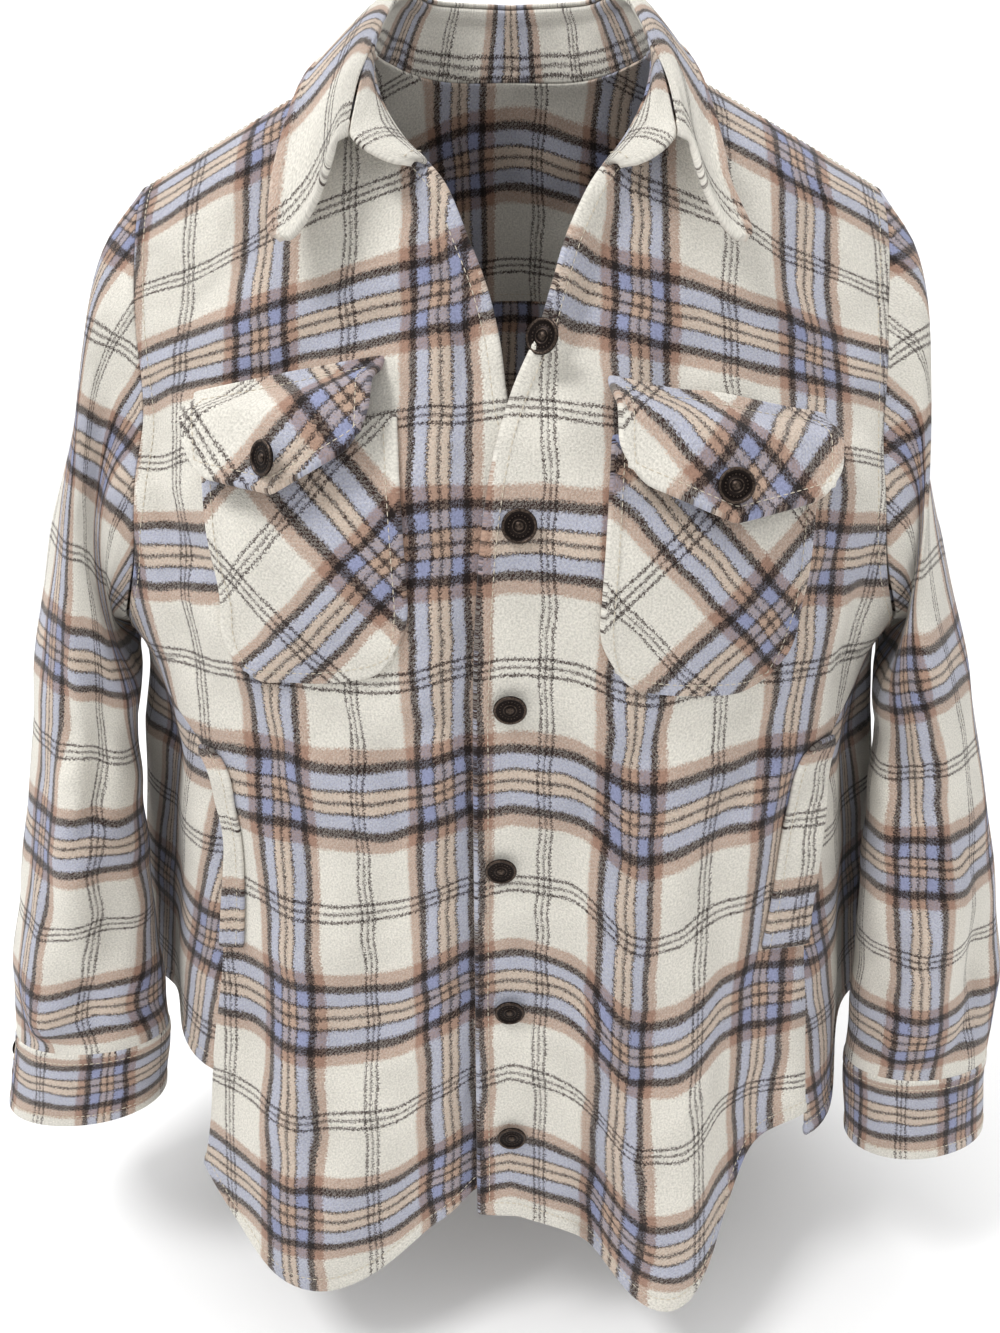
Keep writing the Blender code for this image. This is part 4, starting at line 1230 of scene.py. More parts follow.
@dataclass
class Body:
    """The two fronts, the back and the yoke."""

    pattern: GarmentPattern
    wall: float = 0.002
    front_rows: int = 28
    front_armhole_rows: int = 15
    back_rows: int = 20
    back_armhole_rows: int = 7
    # How deep the right front lies under the lap, and how far the free edges roll out, left and right
    lap_depth: float = 0.0030
    edge_ridges: Span = (0.009, 0.005)
    button_pitch: float = 0.093
    # The shoulders' shares of the yoke's front edge
    shoulder_share: float = 0.30
    # Where the middle of a group of bands lies: across on the left and right, and down
    groups: Span = (0.063, -0.035)
    weft_group: float = 0.1765
    # Where the draped cloth of the fronts starts to hang down, and over what length it is full
    sag_start: float = 0.28
    sag_reach: float = 0.28
    sag_share: float = 0.9
    # turn, then how far it hangs down near the hem, left and right
    sags: Rows = (
        (0, 0.000, 0.000),
        (6, 0.015, 0.012),
        (12, 0.050, 0.030),
        (18, 0.052, 0.034),
        (24, 0.040, 0.034),
        (31, 0.034, 0.030),
        (44, 0.034, 0.028),
    )

    def sag(self, side: Side, turn: Array, down: Array) -> Array:
        """How far the cloth of a front hangs down, which grows towards its hem."""
        hung = side.pick(smooth_rows(self.sags, np.abs(turn)))
        return hung * self.sag_share * np.clip((down - self.sag_start) / self.sag_reach, 0.0, 1.15)

    def under_lap(self, side: Side, x: Array, down: Array) -> Array:
        """How far the right front lies in under the left one, near the centre line.

        Args:
            side: Which front.
            x: Places across.
            down: Metres down from the shoulder ridge.

        Returns:
            Metres, minus where it lies in.
        """
        if side is Side.LEFT:
            return np.zeros_like(x)
        near = ease(-0.042, -0.022, x)
        below = 0.003 * ease(0.50, 0.68, down)
        return -(self.wall + self.lap_depth + below) * near * ease(0.175, 0.215, down)

    def edge_roll(self, side: Side, from_edge: Array, down: Array) -> Array:
        """How far a front's free edge rolls out, in the open V and along the lap.

        Args:
            side: Which front.
            from_edge: Metres from the edge.
            down: Metres down from the shoulder ridge.

        Returns:
            Metres.
        """
        open_v = ease(0.100, 0.135, down) * (1 - ease(0.205, 0.245, down))
        ridge, groove = side.pick(self.edge_ridges) * bell(from_edge, 0.013), 0.0030 * bell(from_edge - 0.0150, 0.0050)
        rolled = open_v * ridge - groove * open_v
        if side is Side.RIGHT:
            return rolled
        # The lap's edge lies a little loose over the other front, more between the buttons
        loose = 0.0016 + 0.0012 * np.cos(2 * np.pi * (down + 0.035) / self.button_pitch)
        return rolled + loose * ease(0.23, 0.27, down) * bell(from_edge, 0.009)

    def front(self, side: Side, u: Array, v: Array) -> tuple[Array, Array]:
        """Points of a front and their place on the cloth.

        Args:
            side: Which side's.
            u: From its first edge to its last, towards the left.
            v: From the yoke seam to the hem.

        Returns:
            The points and places.
        """
        cut, torso, rows = self.pattern, self.pattern.torso, self.front_rows
        top = cut.yoke_front + cut.shoulder_gap
        across = 1 - u if side is Side.RIGHT else u
        edge_turn = np.ones_like(u)
        for _ in range(3):
            hem = cut.hem_down(side.value * np.maximum(edge_turn, 0.5), cut.front_hem)
            outer_down = cut.edge_down(top, hem, v * rows, self.front_armhole_rows, rows)
            down = mix(mix(top, hem, v**1.2), outer_down, across)
            edge_x = cut.front_edge(side, down)
            edge_turn = mix(torso.turn_at(edge_x, down), cut.outer_turn(side, down), across)
        turn = side.value * edge_turn
        x = torso.bare(turn, down)[..., 0]
        lift = self.under_lap(side, x, down) + self.edge_roll(side, np.abs(x) - edge_x, down)
        along = down - self.sag(side, turn, down) - self.weft_group
        cloth = np.stack((torso.arc(turn, down, 0.0) - side.pick(self.groups), along), axis=-1)
        return torso.point(turn, down, lift), cloth

    def back(self, u: Array, v: Array) -> tuple[Array, Array]:
        """Points of the back and their place on the cloth.

        Args:
            u: From the left side to the right one.
            v: From the yoke seam to the hem.

        Returns:
            The points and places.
        """
        cut, torso, rows = self.pattern, self.pattern.torso, self.back_rows
        across = 1 - 2 * u
        far = np.abs(across)
        left = across > 0
        sign = np.where(left, 1.0, -1.0)
        common = np.full_like(u, cut.seam_common)
        seam = np.where(left, *(cut.seam_turn(side, common) for side in Side))
        hem = cut.hem_down(sign * (180 - far * (180 - seam)), cut.back_hem)
        height = np.full_like(u, cut.yoke_back_height)
        top = torso.down_at(far * cut.armhole_top_x, height) + cut.shoulder_gap
        outer = cut.edge_down(top, hem, v * rows, self.back_armhole_rows, rows)
        down = mix(mix(top, hem, v), outer, far)
        seam = np.where(left, *(cut.seam_turn(side, down) for side in Side))
        armhole = 180 - torso.turn_at(cut.armhole_x(down) - 2 * cut.seam_gap, down)
        side_turn = np.where(down < cut.underarm, armhole, seam + cut.seam_degrees)
        turn = sign * (180 - far * (180 - side_turn))
        from_middle = torso.arc(np.where(left, turn, turn + 360), down, 180.0)
        cloth = np.stack((from_middle, down - self.weft_group), axis=-1)
        return torso.point(turn, down), cloth

    def yoke(self, u: Array, v: Array) -> tuple[Array, Array]:
        """Points of the yoke and their place on the cloth.

        Args:
            u: From the right shoulder tip to the left one.
            v: From the front seams and the neck to the back seam.

        Returns:
            The points and places.
        """
        cut, torso = self.pattern, self.pattern.torso
        shoulder, edge = self.shoulder_share, cut.armhole_top_x - cut.shoulder_gap
        neck_x, neck_over = cut.neck_over(np.clip((u - shoulder) / (1 - 2 * shoulder), 0, 1))
        right_x = mix(-edge, -cut.neck_half_width, u / shoulder)
        left_x = mix(cut.neck_half_width, edge, (u - 1 + shoulder) / shoulder)
        top_x = np.where(u < shoulder, right_x, np.where(u > 1 - shoulder, left_x, neck_x))
        on_neck = (u >= shoulder) & (u <= 1 - shoulder)
        top_over = np.where(on_neck, neck_over, -cut.yoke_front)
        bottom_x = mix(-edge, edge, u)
        x = mix(top_x, bottom_x, v)
        bottom_over = torso.down_at(bottom_x, np.full_like(u, cut.yoke_back_height))
        over = mix(top_over, bottom_over, v)
        limit = cut.armhole_x(np.abs(over)) - cut.shoulder_gap
        x = np.where(np.abs(x) > edge - 1e-6, np.copysign(limit, x), x)
        turn, down = cut.over_ridge(x, over)
        cloth = np.stack((x - self.groups[0], over + 0.030), axis=-1)
        return torso.point(turn, down), cloth

    def build(self, wardrobe: Wardrobe, stitching: Stitching) -> None:
        """Make the pieces and their stitching.

        Args:
            wardrobe: The finishes.
            stitching: What collects the rows of stitches.
        """
        for side in Side:
            edge, seam = (Border.FIRST, Border.LAST) if side is Side.LEFT else (Border.LAST, Border.FIRST)
            front = ClothPiece(
                f"front_{side.word}", Slot.MAIN, partial(self.front, side), (edge, Border.BOTTOM), (0.30, 0.76), 0.172,
                rests_on=("yoke_cloth",),
            )
            short = side.pick(((0.006, 0.0), (0.0, 0.006)))
            front.build(wardrobe, stitching, ((Border.BOTTOM, 0.008, short), (Border.TOP, 0.0035, (0.002, 0.002))))
            # The right front's free edge is sewn where it shows, above the lap
            free = front.line(edge, 0.006, (0.0, 0.008))
            armhole = front.line(seam, 0.006)
            stitching.add(free[free[:, 2] > side.pick((-1.0, -0.165))], armhole[: int(0.45 * len(armhole))])
        back = ClothPiece(
            "back", Slot.MAIN, self.back, (Border.BOTTOM,), (0.62, 0.64), 0.36, rests_on=("yoke_cloth",)
        )
        back.build(wardrobe, stitching, ((Border.BOTTOM, 0.008, (0.0, 0.0)), (Border.TOP, 0.0045, (0.0, 0.0))))
        yoke = ClothPiece("yoke", Slot.TRIM, self.yoke, (), (0.42, 0.15), 0.050)
        yoke.build(wardrobe, stitching, ((Border.BOTTOM, 0.004, (0.004, 0.004)),))


@dataclass
class SleeveForm:
    """The worn sleeves, as rings from the armhole to the wrist."""

    pattern: GarmentPattern
    lean: float = 0.42
    forearm_tilt: float = 0.34
    fold_strength: float = 1.3
    # along, outer x and z, inner x and z, y, half depth
    rings: Rows = (
        (0.00, 0.1930, -0.0460, 0.2270, -0.2820, 0.000, 0.0850),
        (0.04, 0.2150, -0.0720, 0.2330, -0.2800, -0.002, 0.0820),
        (0.11, 0.2290, -0.1130, 0.2330, -0.2860, -0.006, 0.0780),
        (0.18, 0.2410, -0.1560, 0.2320, -0.2980, -0.012, 0.0740),
        (0.26, 0.2590, -0.2020, 0.2310, -0.3170, -0.020, 0.0690),
        (0.35, 0.2740, -0.2520, 0.2320, -0.3370, -0.027, 0.0650),
        (0.45, 0.2850, -0.3050, 0.2320, -0.3640, -0.033, 0.0620),
        (0.58, 0.2960, -0.3700, 0.2310, -0.4020, -0.039, 0.0590),
        (0.69, 0.3070, -0.4260, 0.2305, -0.4400, -0.045, 0.0570),
        (0.81, 0.3190, -0.4820, 0.2295, -0.4840, -0.050, 0.0540),
        (0.92, 0.3260, -0.5290, 0.2275, -0.5230, -0.055, 0.0510),
        (1.00, 0.3270, -0.5560, 0.2265, -0.5480, -0.059, 0.0470),
        (1.12, 0.3380, -0.6110, 0.2320, -0.5920, -0.064, 0.0460),
    )
    # along, then how much further out, in, up at the outer and up at the inner line the left is
    left_shift: Rows = (
        (0.00, 0.000, 0.000, 0.000, 0.000),
        (0.06, -0.003, 0.000, 0.000, 0.000),
        (0.17, -0.013, 0.000, 0.000, 0.000),
        (0.30, -0.017, -0.003, 0.000, 0.000),
        (0.45, -0.010, -0.005, -0.002, -0.002),
        (0.60, -0.002, -0.005, -0.006, -0.006),
        (0.78, 0.000, -0.003, -0.010, -0.012),
        (0.92, -0.004, 0.000, -0.014, -0.018),
        (1.12, -0.014, 0.000, -0.018, -0.038),
    )
    # turn, slant, along, length, half width, depth, of the left sleeve and then of the right one
    folds: tuple[Rows, Rows] = (
        (
            (62, 60, 0.36, 0.18, 22, 0.009),
            (105, -40, 0.50, 0.16, 20, -0.008),
            (70, 30, 0.66, 0.17, 18, 0.008),
            (48, -20, 0.82, 0.14, 17, -0.008),
            (95, 20, 0.84, 0.15, 20, 0.007),
            (150, 30, 0.24, 0.14, 24, 0.007),
            (250, 40, 0.46, 0.20, 24, 0.008),
            (290, -40, 0.66, 0.20, 22, -0.007),
            (235, 20, 0.80, 0.16, 20, 0.007),
            (75, 160, 0.46, 0.10, 9, -0.0035),
            (58, -140, 0.60, 0.11, 9, -0.0035),
            (92, 150, 0.74, 0.10, 9, 0.0030),
            (60, 120, 0.93, 0.07, 10, -0.0030),
            (112, -90, 0.93, 0.06, 10, 0.0030),
            (260, 140, 0.34, 0.11, 10, -0.0035),
            (300, -120, 0.54, 0.11, 10, 0.0030),
            (246, 120, 0.90, 0.07, 10, -0.0030),
        ),
        (
            (55, 40, 0.30, 0.18, 20, 0.008),
            (100, -30, 0.44, 0.16, 20, -0.008),
            (74, 10, 0.62, 0.20, 18, 0.008),
            (110, -20, 0.74, 0.16, 20, -0.007),
            (60, 30, 0.86, 0.14, 20, 0.008),
            (148, 30, 0.22, 0.14, 24, 0.007),
            (248, 30, 0.42, 0.20, 24, 0.008),
            (288, -30, 0.60, 0.20, 22, -0.008),
            (238, 20, 0.82, 0.16, 20, 0.007),
            (62, 150, 0.40, 0.10, 9, -0.0035),
            (88, -150, 0.56, 0.11, 9, -0.0035),
            (50, 130, 0.72, 0.10, 9, 0.0030),
            (95, 120, 0.90, 0.07, 10, -0.0035),
            (58, -90, 0.93, 0.06, 10, 0.0030),
            (262, -140, 0.32, 0.11, 10, -0.0035),
            (298, 120, 0.52, 0.11, 10, 0.0030),
            (250, -120, 0.90, 0.07, 10, -0.0030),
        ),
    )

    def armhole(self, side: Side, turn: Array) -> Array:
        """The armhole's points.

        Args:
            side: Which armhole.
            turn: Degrees from its top round by the front.

        Returns:
            The points.
        """
        cut, torso = self.pattern, self.pattern.torso
        down = cut.underarm * (1 - np.cos(np.radians(turn))) / 2
        around = torso.turn_at(cut.armhole_x(down), down)
        around = np.where(turn % 360 > 180, 180 - around, around)
        low = np.maximum(-np.cos(np.radians(turn)), 0.0) ** 3
        moved = vector(side.value * (3 * cut.seam_gap + 0.0030 * low), 0.0, 0.0040 * low)
        return torso.point(around * side.value, down) + moved

    def ring(self, side: Side, along: Array, turn: Array) -> Array:
        """Points of a plain ring, leaning in at the front, and turned up there at the forearm.

        Args:
            side: Which sleeve.
            along: From 0 at the armhole to 1 at the cuff.
            turn: Degrees from the outer line round by the front.

        Returns:
            The points.
        """
        outer_x, outer_z, inner_x, inner_z, y, half_depth = smooth_rows(self.rings, along)
        if side is Side.LEFT:
            shifts = smooth_rows(self.left_shift, along)
            outer_x, inner_x, outer_z, inner_z = map(sum, zip((outer_x, inner_x, outer_z, inner_z), shifts))
        cosine = np.cos(np.radians(turn))
        forward = half_depth * np.sin(np.radians(turn))
        x = (outer_x + inner_x) / 2 + (outer_x - inner_x) / 2 * cosine
        z = (outer_z + inner_z) / 2 + (outer_z - inner_z) / 2 * cosine
        x = x - self.lean * ease(0.05, 0.35, along) * forward
        z = z + self.forearm_tilt * ease(0.5, 1.0, along) * forward
        return vector(side.value * x, y - forward, z)

    def relief(self, side: Side, along: Array, turn: Array) -> Array:
        """How far folds move the cloth out.

        Args:
            side: Which sleeve.
            along: From 0 at the armhole to 1 at the cuff.
            turn: Degrees from the outer line round by the front.

        Returns:
            Metres.
        """
        total = np.zeros(np.broadcast(along, turn).shape)
        for middle, slant, at, length, half_width, depth in side.pick(self.folds):
            offset = np.clip(np.abs(along - at) / length, 0.0, 1.0)
            away = (turn - middle - slant * (along - at) + 180) % 360 - 180
            total = total + self.fold_strength * depth * (1 - offset**2) ** 2 * bell(away, half_width)
        wave = np.sin(31 * along + np.radians(2 * turn)) + np.sin(47 * along - np.radians(3 * turn))
        return total + 0.0005 * wave

    def point(self, side: Side, along: Array, turn: Array, lift: Array | float = 0.0) -> Array:
        """Points of a sleeve: the armhole's own shape at its top, and plain rings below.

        Args:
            side: Which sleeve.
            along: From 0 at the armhole to 1 at the cuff.
            turn: Degrees from the outer line round by the front.
            lift: Metres further out.

        Returns:
            The points.
        """
        ring = self.ring(side, along, turn)
        joined = 1 - ease(0.0, 0.22, along)
        root = self.armhole(side, turn) - self.ring(side, np.zeros_like(turn), turn)
        ring = ring + root * joined[..., None]
        outer_x, _, inner_x, _, y, _ = smooth_rows(self.rings, along)
        middle = vector(side.value * (outer_x + inner_x) / 2, y, ring[..., 2])
        out = self.relief(side, along, turn) * (1 - joined) + lift
        return ring + unit(ring - middle) * out[..., None]


@dataclass
class Sleeves:
    """The two sleeves and their lapped cuffs."""

    form: SleeveForm
    cuff_start: float = 1.0012
    cuff_end: float = 1.12
    column: float = 360 / 22
    sleeve_length: float = 0.560
    cuff_depth: float = 0.062
    cuff_radius: float = 0.052
    lap_rise: float = 0.0032
    # The group of bands on a cuff lies this much further round than on its sleeve
    cuff_shift: float = 12.0
    lap_starts: tuple[int, int] = (14, 19)
    # Turn of the middle of a group of bands, and its distance down from the shoulder tip
    group_turn: Span = (95.0, 46.0)
    group_down: float = 0.146
    rulers: dict[Side, tuple[Array, Array]] = field(default_factory=dict)

    def measure(self, side: Side) -> tuple[Array, Array]:
        """Measure a sleeve's cloth on a grid of its form.

        Args:
            side: Which sleeve.

        Returns:
            Metres round from the outer line and metres down from the shoulder tip, by along and turn.
        """
        along, turn = np.meshgrid(np.linspace(0, 1, 61), np.linspace(-180, 180, 97), indexing="ij")
        points = self.form.point(side, along, turn % 360)
        around = np.pad(lengths(points, 1).cumsum(axis=1), ((0, 0), (1, 0)))
        around = around - around[:, 48:49]
        steps = np.pad(lengths(points, 0).cumsum(axis=0), ((1, 0), (0, 0)))
        start = (points[0, 48, 2] - points[0, :, 2]) * 0.97
        down = start + steps * (self.sleeve_length - start) / steps[-1]
        return around, down

    def cloth_place(self, side: Side, along: Array, turn: Array) -> Array:
        """Places on the cloth: across from the group of bands, and down from the shoulder tip.

        Args:
            side: Which sleeve.
            along: From 0 at the armhole to 1 at the cuff.
            turn: Degrees from the outer line round by the front, from -180 to 180.

        Returns:
            The places.
        """
        if side not in self.rulers:
            self.rulers[side] = self.measure(side)

        def read(table: Array, row: Array, column: Array) -> Array:
            """Read between the rows and columns of a table.

            Args:
                table: The ruler.
                row: Places down it.
                column: Places across it.

            Returns:
                Its values there.
            """
            low_row = np.clip(row.astype(int), 0, 59)
            low_column = np.clip(column.astype(int), 0, 95)
            across = mix(table[low_row, low_column], table[low_row, low_column + 1], column - low_column)
            below = mix(table[low_row + 1, low_column], table[low_row + 1, low_column + 1], column - low_column)
            return mix(across, below, row - low_row)

        around, down = self.rulers[side]
        row, column = along * 60, (turn + 180) / 3.75
        group = read(around, row, np.full_like(column, (side.pick(self.group_turn) + 180) / 3.75))
        across = read(around, row, column) - group
        return np.stack((across, read(down, row, column) - self.group_down), axis=-1)

    def sleeve(self, side: Side, u: Array, v: Array) -> tuple[Array, Array]:
        """Points of a sleeve and their place on the cloth. Its seam is under the arm.

        Args:
            side: Which side's.
            u: Round the arm from the seam.
            v: From the armhole to the cuff.

        Returns:
            The points and places.
        """
        turn = side.value * (180 - 360 * u)
        return self.form.point(side, v, turn % 360), self.cloth_place(side, v, turn)

    def cuff(self, side: Side, u: Array, v: Array) -> tuple[Array, Array]:
        """Points of a cuff and their place on the cloth. The band laps over its own end at the back of the wrist.

        Args:
            side: Which side's.
            u: Along the band.
            v: From the sleeve to the edge.

        Returns:
            The points and places.
        """
        start, sweep = side.pick(self.lap_starts) * self.column, 24 * self.column
        share = 1 - u if side is Side.LEFT else u
        turn = start + sweep * share
        along = mix(self.cuff_start, self.cuff_end, v)
        points = self.form.point(side, along, turn % 360, self.lap_rise * ease(0.82, 0.96, share))
        across = np.radians(turn - side.pick(self.group_turn) - self.cuff_shift) * self.cuff_radius
        return points, np.stack((across, v * self.cuff_depth - 0.029), axis=-1)

    def build(self, wardrobe: Wardrobe, stitching: Stitching) -> None:
        """Make the pieces and their stitching.

        Args:
            wardrobe: The finishes.
            stitching: What collects the rows of stitches.
        """
        for side in Side:
            sleeve = ClothPiece(
                f"sleeve_{side.word}", Slot.MAIN, partial(self.sleeve, side), (), (0.48, 0.56), 0.19,
                rests_on=(f"front_{side.word}_cloth", "back_cloth"), closed=True,
            )
            sleeve.build(wardrobe, stitching)
            cuff = ClothPiece(
                f"cuff_{side.word}", Slot.POCKET, partial(self.cuff, side), tuple(Border), (0.34, 0.062), 0.021,
                rests_on=(f"sleeve_{side.word}_cloth",), bead=0.0012,
            )
            cuff.build(wardrobe, stitching, [(border, 0.006, (0.006, 0.006)) for border in Border])


@dataclass
class Collar:
    """The collar stand and the leaf that folds over it."""

    pattern: GarmentPattern
    notch: float = 15 / 17
    stand_end: float = 0.112
    left_pull: float = 0.013
    stand_height: float = 0.034
    leaf_depth: float = 0.074
    corner_radius: float = 0.010
    # Metres of cloth from the centre back to a front end, at the neck seam and at the leaf
    stand_reach: float = 0.25
    leaf_reach: float = 0.2706
    # way, fold x, y and z, then edge x, y and z
    rows: Rows = (
        (0.00, 0.0000, 0.0480, 0.0480, 0.0000, 0.0960, -0.0120),
        (0.25, 0.0400, 0.0350, 0.0470, 0.0720, 0.0720, -0.0040),
        (0.50, 0.0575, -0.0010, 0.0430, 0.0960, 0.0000, 0.0110),
        (0.65, 0.0640, -0.0330, 0.0230, 0.1020, -0.0420, -0.0040),
        (0.78, 0.0700, -0.0590, -0.0030, 0.1110, -0.0745, -0.0440),
        (15 / 17, 0.0750, -0.0770, -0.0300, 0.1130, -0.0975, -0.0830),
    )

    def neckline(self, way: Array) -> tuple[Array, Array]:
        """The neck seam.

        Args:
            way: 0 at the centre back, 1 at the left front end and -1 at the right one.

        Returns:
            Its points and the directions out of the cloth there.
        """
        cut, torso = self.pattern, self.pattern.torso
        far = np.abs(way)
        x, over = cut.neck_over(np.clip(0.5 + way, 0.0, 1.0))
        turn, down = cut.over_ridge(x, over)
        behind = torso.point(turn, down)
        behind_out = torso.normal(torso.turn_at(x, down), np.maximum(down, 0.004))
        low = mix(cut.yoke_front, self.stand_end, np.maximum(far - 0.5, 0.0) * 2)
        edge = np.where(way > 0, *(cut.front_edge(side, low) for side in Side))
        turn = np.where(way > 0, 1.0, -1.0) * torso.turn_at(edge, low)
        before, before_out = torso.point(turn, low), torso.normal(turn, low)
        back = (far <= 0.5)[..., None]
        return np.where(back, behind, before), np.where(back, behind_out, before_out)

    def base(self, way: Array) -> Array:
        """The lower edge of the stand, on the neck seam.

        Args:
            way: 0 at the centre back, 1 and -1 at the front ends.

        Returns:
            Its points.
        """
        points, normal = self.neckline(way)
        upright = unit(mix(np.array((0.0, 0.0, 1.0)), normal, 0.5))
        normal = np.where((np.abs(way) < 0.5)[..., None], upright, normal)
        return points + normal * mix(0.0018, 0.0046, ease(0.45, 0.9, np.abs(way)))[..., None]

    def fold(self, way: Array) -> Array:
        """The top of the stand, where the leaf turns over."""
        x, y, z = smooth_rows(self.rows, np.minimum(np.abs(way), self.notch))[:3]
        return vector(np.copysign(x, way), y, z)

    def stand(self, u: Array, v: Array) -> tuple[Array, Array]:
        """Points of the stand and their place on the cloth.

        Args:
            u: From the right front end to the left one.
            v: From the fold to the neck seam.

        Returns:
            The points and places.
        """
        way = mix(-1.0, 1.0, u)
        base, top = self.base(way), self.fold(way)
        past = np.maximum(np.abs(way) - self.notch, 0.0) / (1 - self.notch)
        step = base - self.base(np.copysign(self.notch, way))
        top = top + step * (0.95 * (past > 0))[..., None]
        height = (0.35 + 0.65 * np.sqrt(np.maximum(1 - past**2.2, 0.0)))[..., None]
        bow = vector(0.0, 0.0, 0.003 * np.sin(np.pi * v)) * height
        points = mix(base, top, (1 - v)[..., None] * height) + bow
        cloth = np.stack((way * self.stand_reach, v * self.stand_height + 0.034), axis=-1)
        return points, cloth

    def leaf(self, u: Array, v: Array) -> tuple[Array, Array]:
        """Points of the leaf and their place on the cloth.

        Args:
            u: From the right notch to the left one.
            v: From the fold to the outer edge.

        Returns:
            The points and places.
        """
        u, v = rounded(u, v, (0.50, 0.070), {(0, 1): self.corner_radius, (1, 1): self.corner_radius})
        way = mix(-self.notch, self.notch, u)
        edge_x, edge_y, edge_z = smooth_rows(self.rows, np.abs(way))[3:]
        top = self.fold(way)
        pull = self.left_pull * ease(0.2, 0.5, way) * (1 - ease(0.8, self.notch, way))
        edge = vector(np.copysign(edge_x, way) - pull, edge_y, edge_z + pull * 0.45)
        start = top + unit(top - self.base(way)) * 0.0030
        out = unit((edge - top) * np.array((1.0, 1.0, 0.0)))
        end = ease(0.66, self.notch, np.abs(way))[..., None]
        fuller = vector(np.copysign(0.014, -way), -0.004, -0.012) * end
        rise = unit(top - self.base(way))
        first = start + rise * mix(0.006, 0.003, end) + out * 0.007
        second = mix(edge, start, 0.45) + np.array((0.0, 0.0, 0.004)) + fuller
        t = (v**1.5)[..., None]
        points = (
            start * (1 - t) ** 3
            + first * (3 * t * (1 - t) ** 2)
            + second * (3 * t * t * (1 - t))
            + edge * t**3
        )
        cloth = np.stack((way * self.leaf_reach, t[..., 0] * self.leaf_depth + 0.029), axis=-1)
        return points, cloth

    def build(self, wardrobe: Wardrobe, stitching: Stitching) -> None:
        """Make the pieces and their stitching.

        Args:
            wardrobe: The finishes.
            stitching: What collects the rows of stitches.
        """
        ends = (Border.FIRST, Border.LAST)
        stand = ClothPiece(
            "collar_stand", Slot.POCKET, self.stand, (Border.TOP, *ends), (0.46, 0.034), 0.0125,
            rests_on=("yoke_cloth", "front_left_cloth", "front_right_cloth"), cell=0.003, bead=0.0010,
        )
        stand.build(wardrobe, stitching, [(border, 0.005, (0.003, 0.0)) for border in ends])
        leaf = ClothPiece(
            "collar_leaf", Slot.MAIN, self.leaf, (Border.BOTTOM, *ends), (0.50, 0.072), 0.0290,
            held="folded", rests_on=("collar_stand_cloth",), cell=0.003, bead=0.0018,
        )
        rows = [(Border.BOTTOM, 0.006, (0.006, 0.006)), *((border, 0.006, (0.0, 0.006)) for border in ends)]
        leaf.build(wardrobe, stitching, rows)


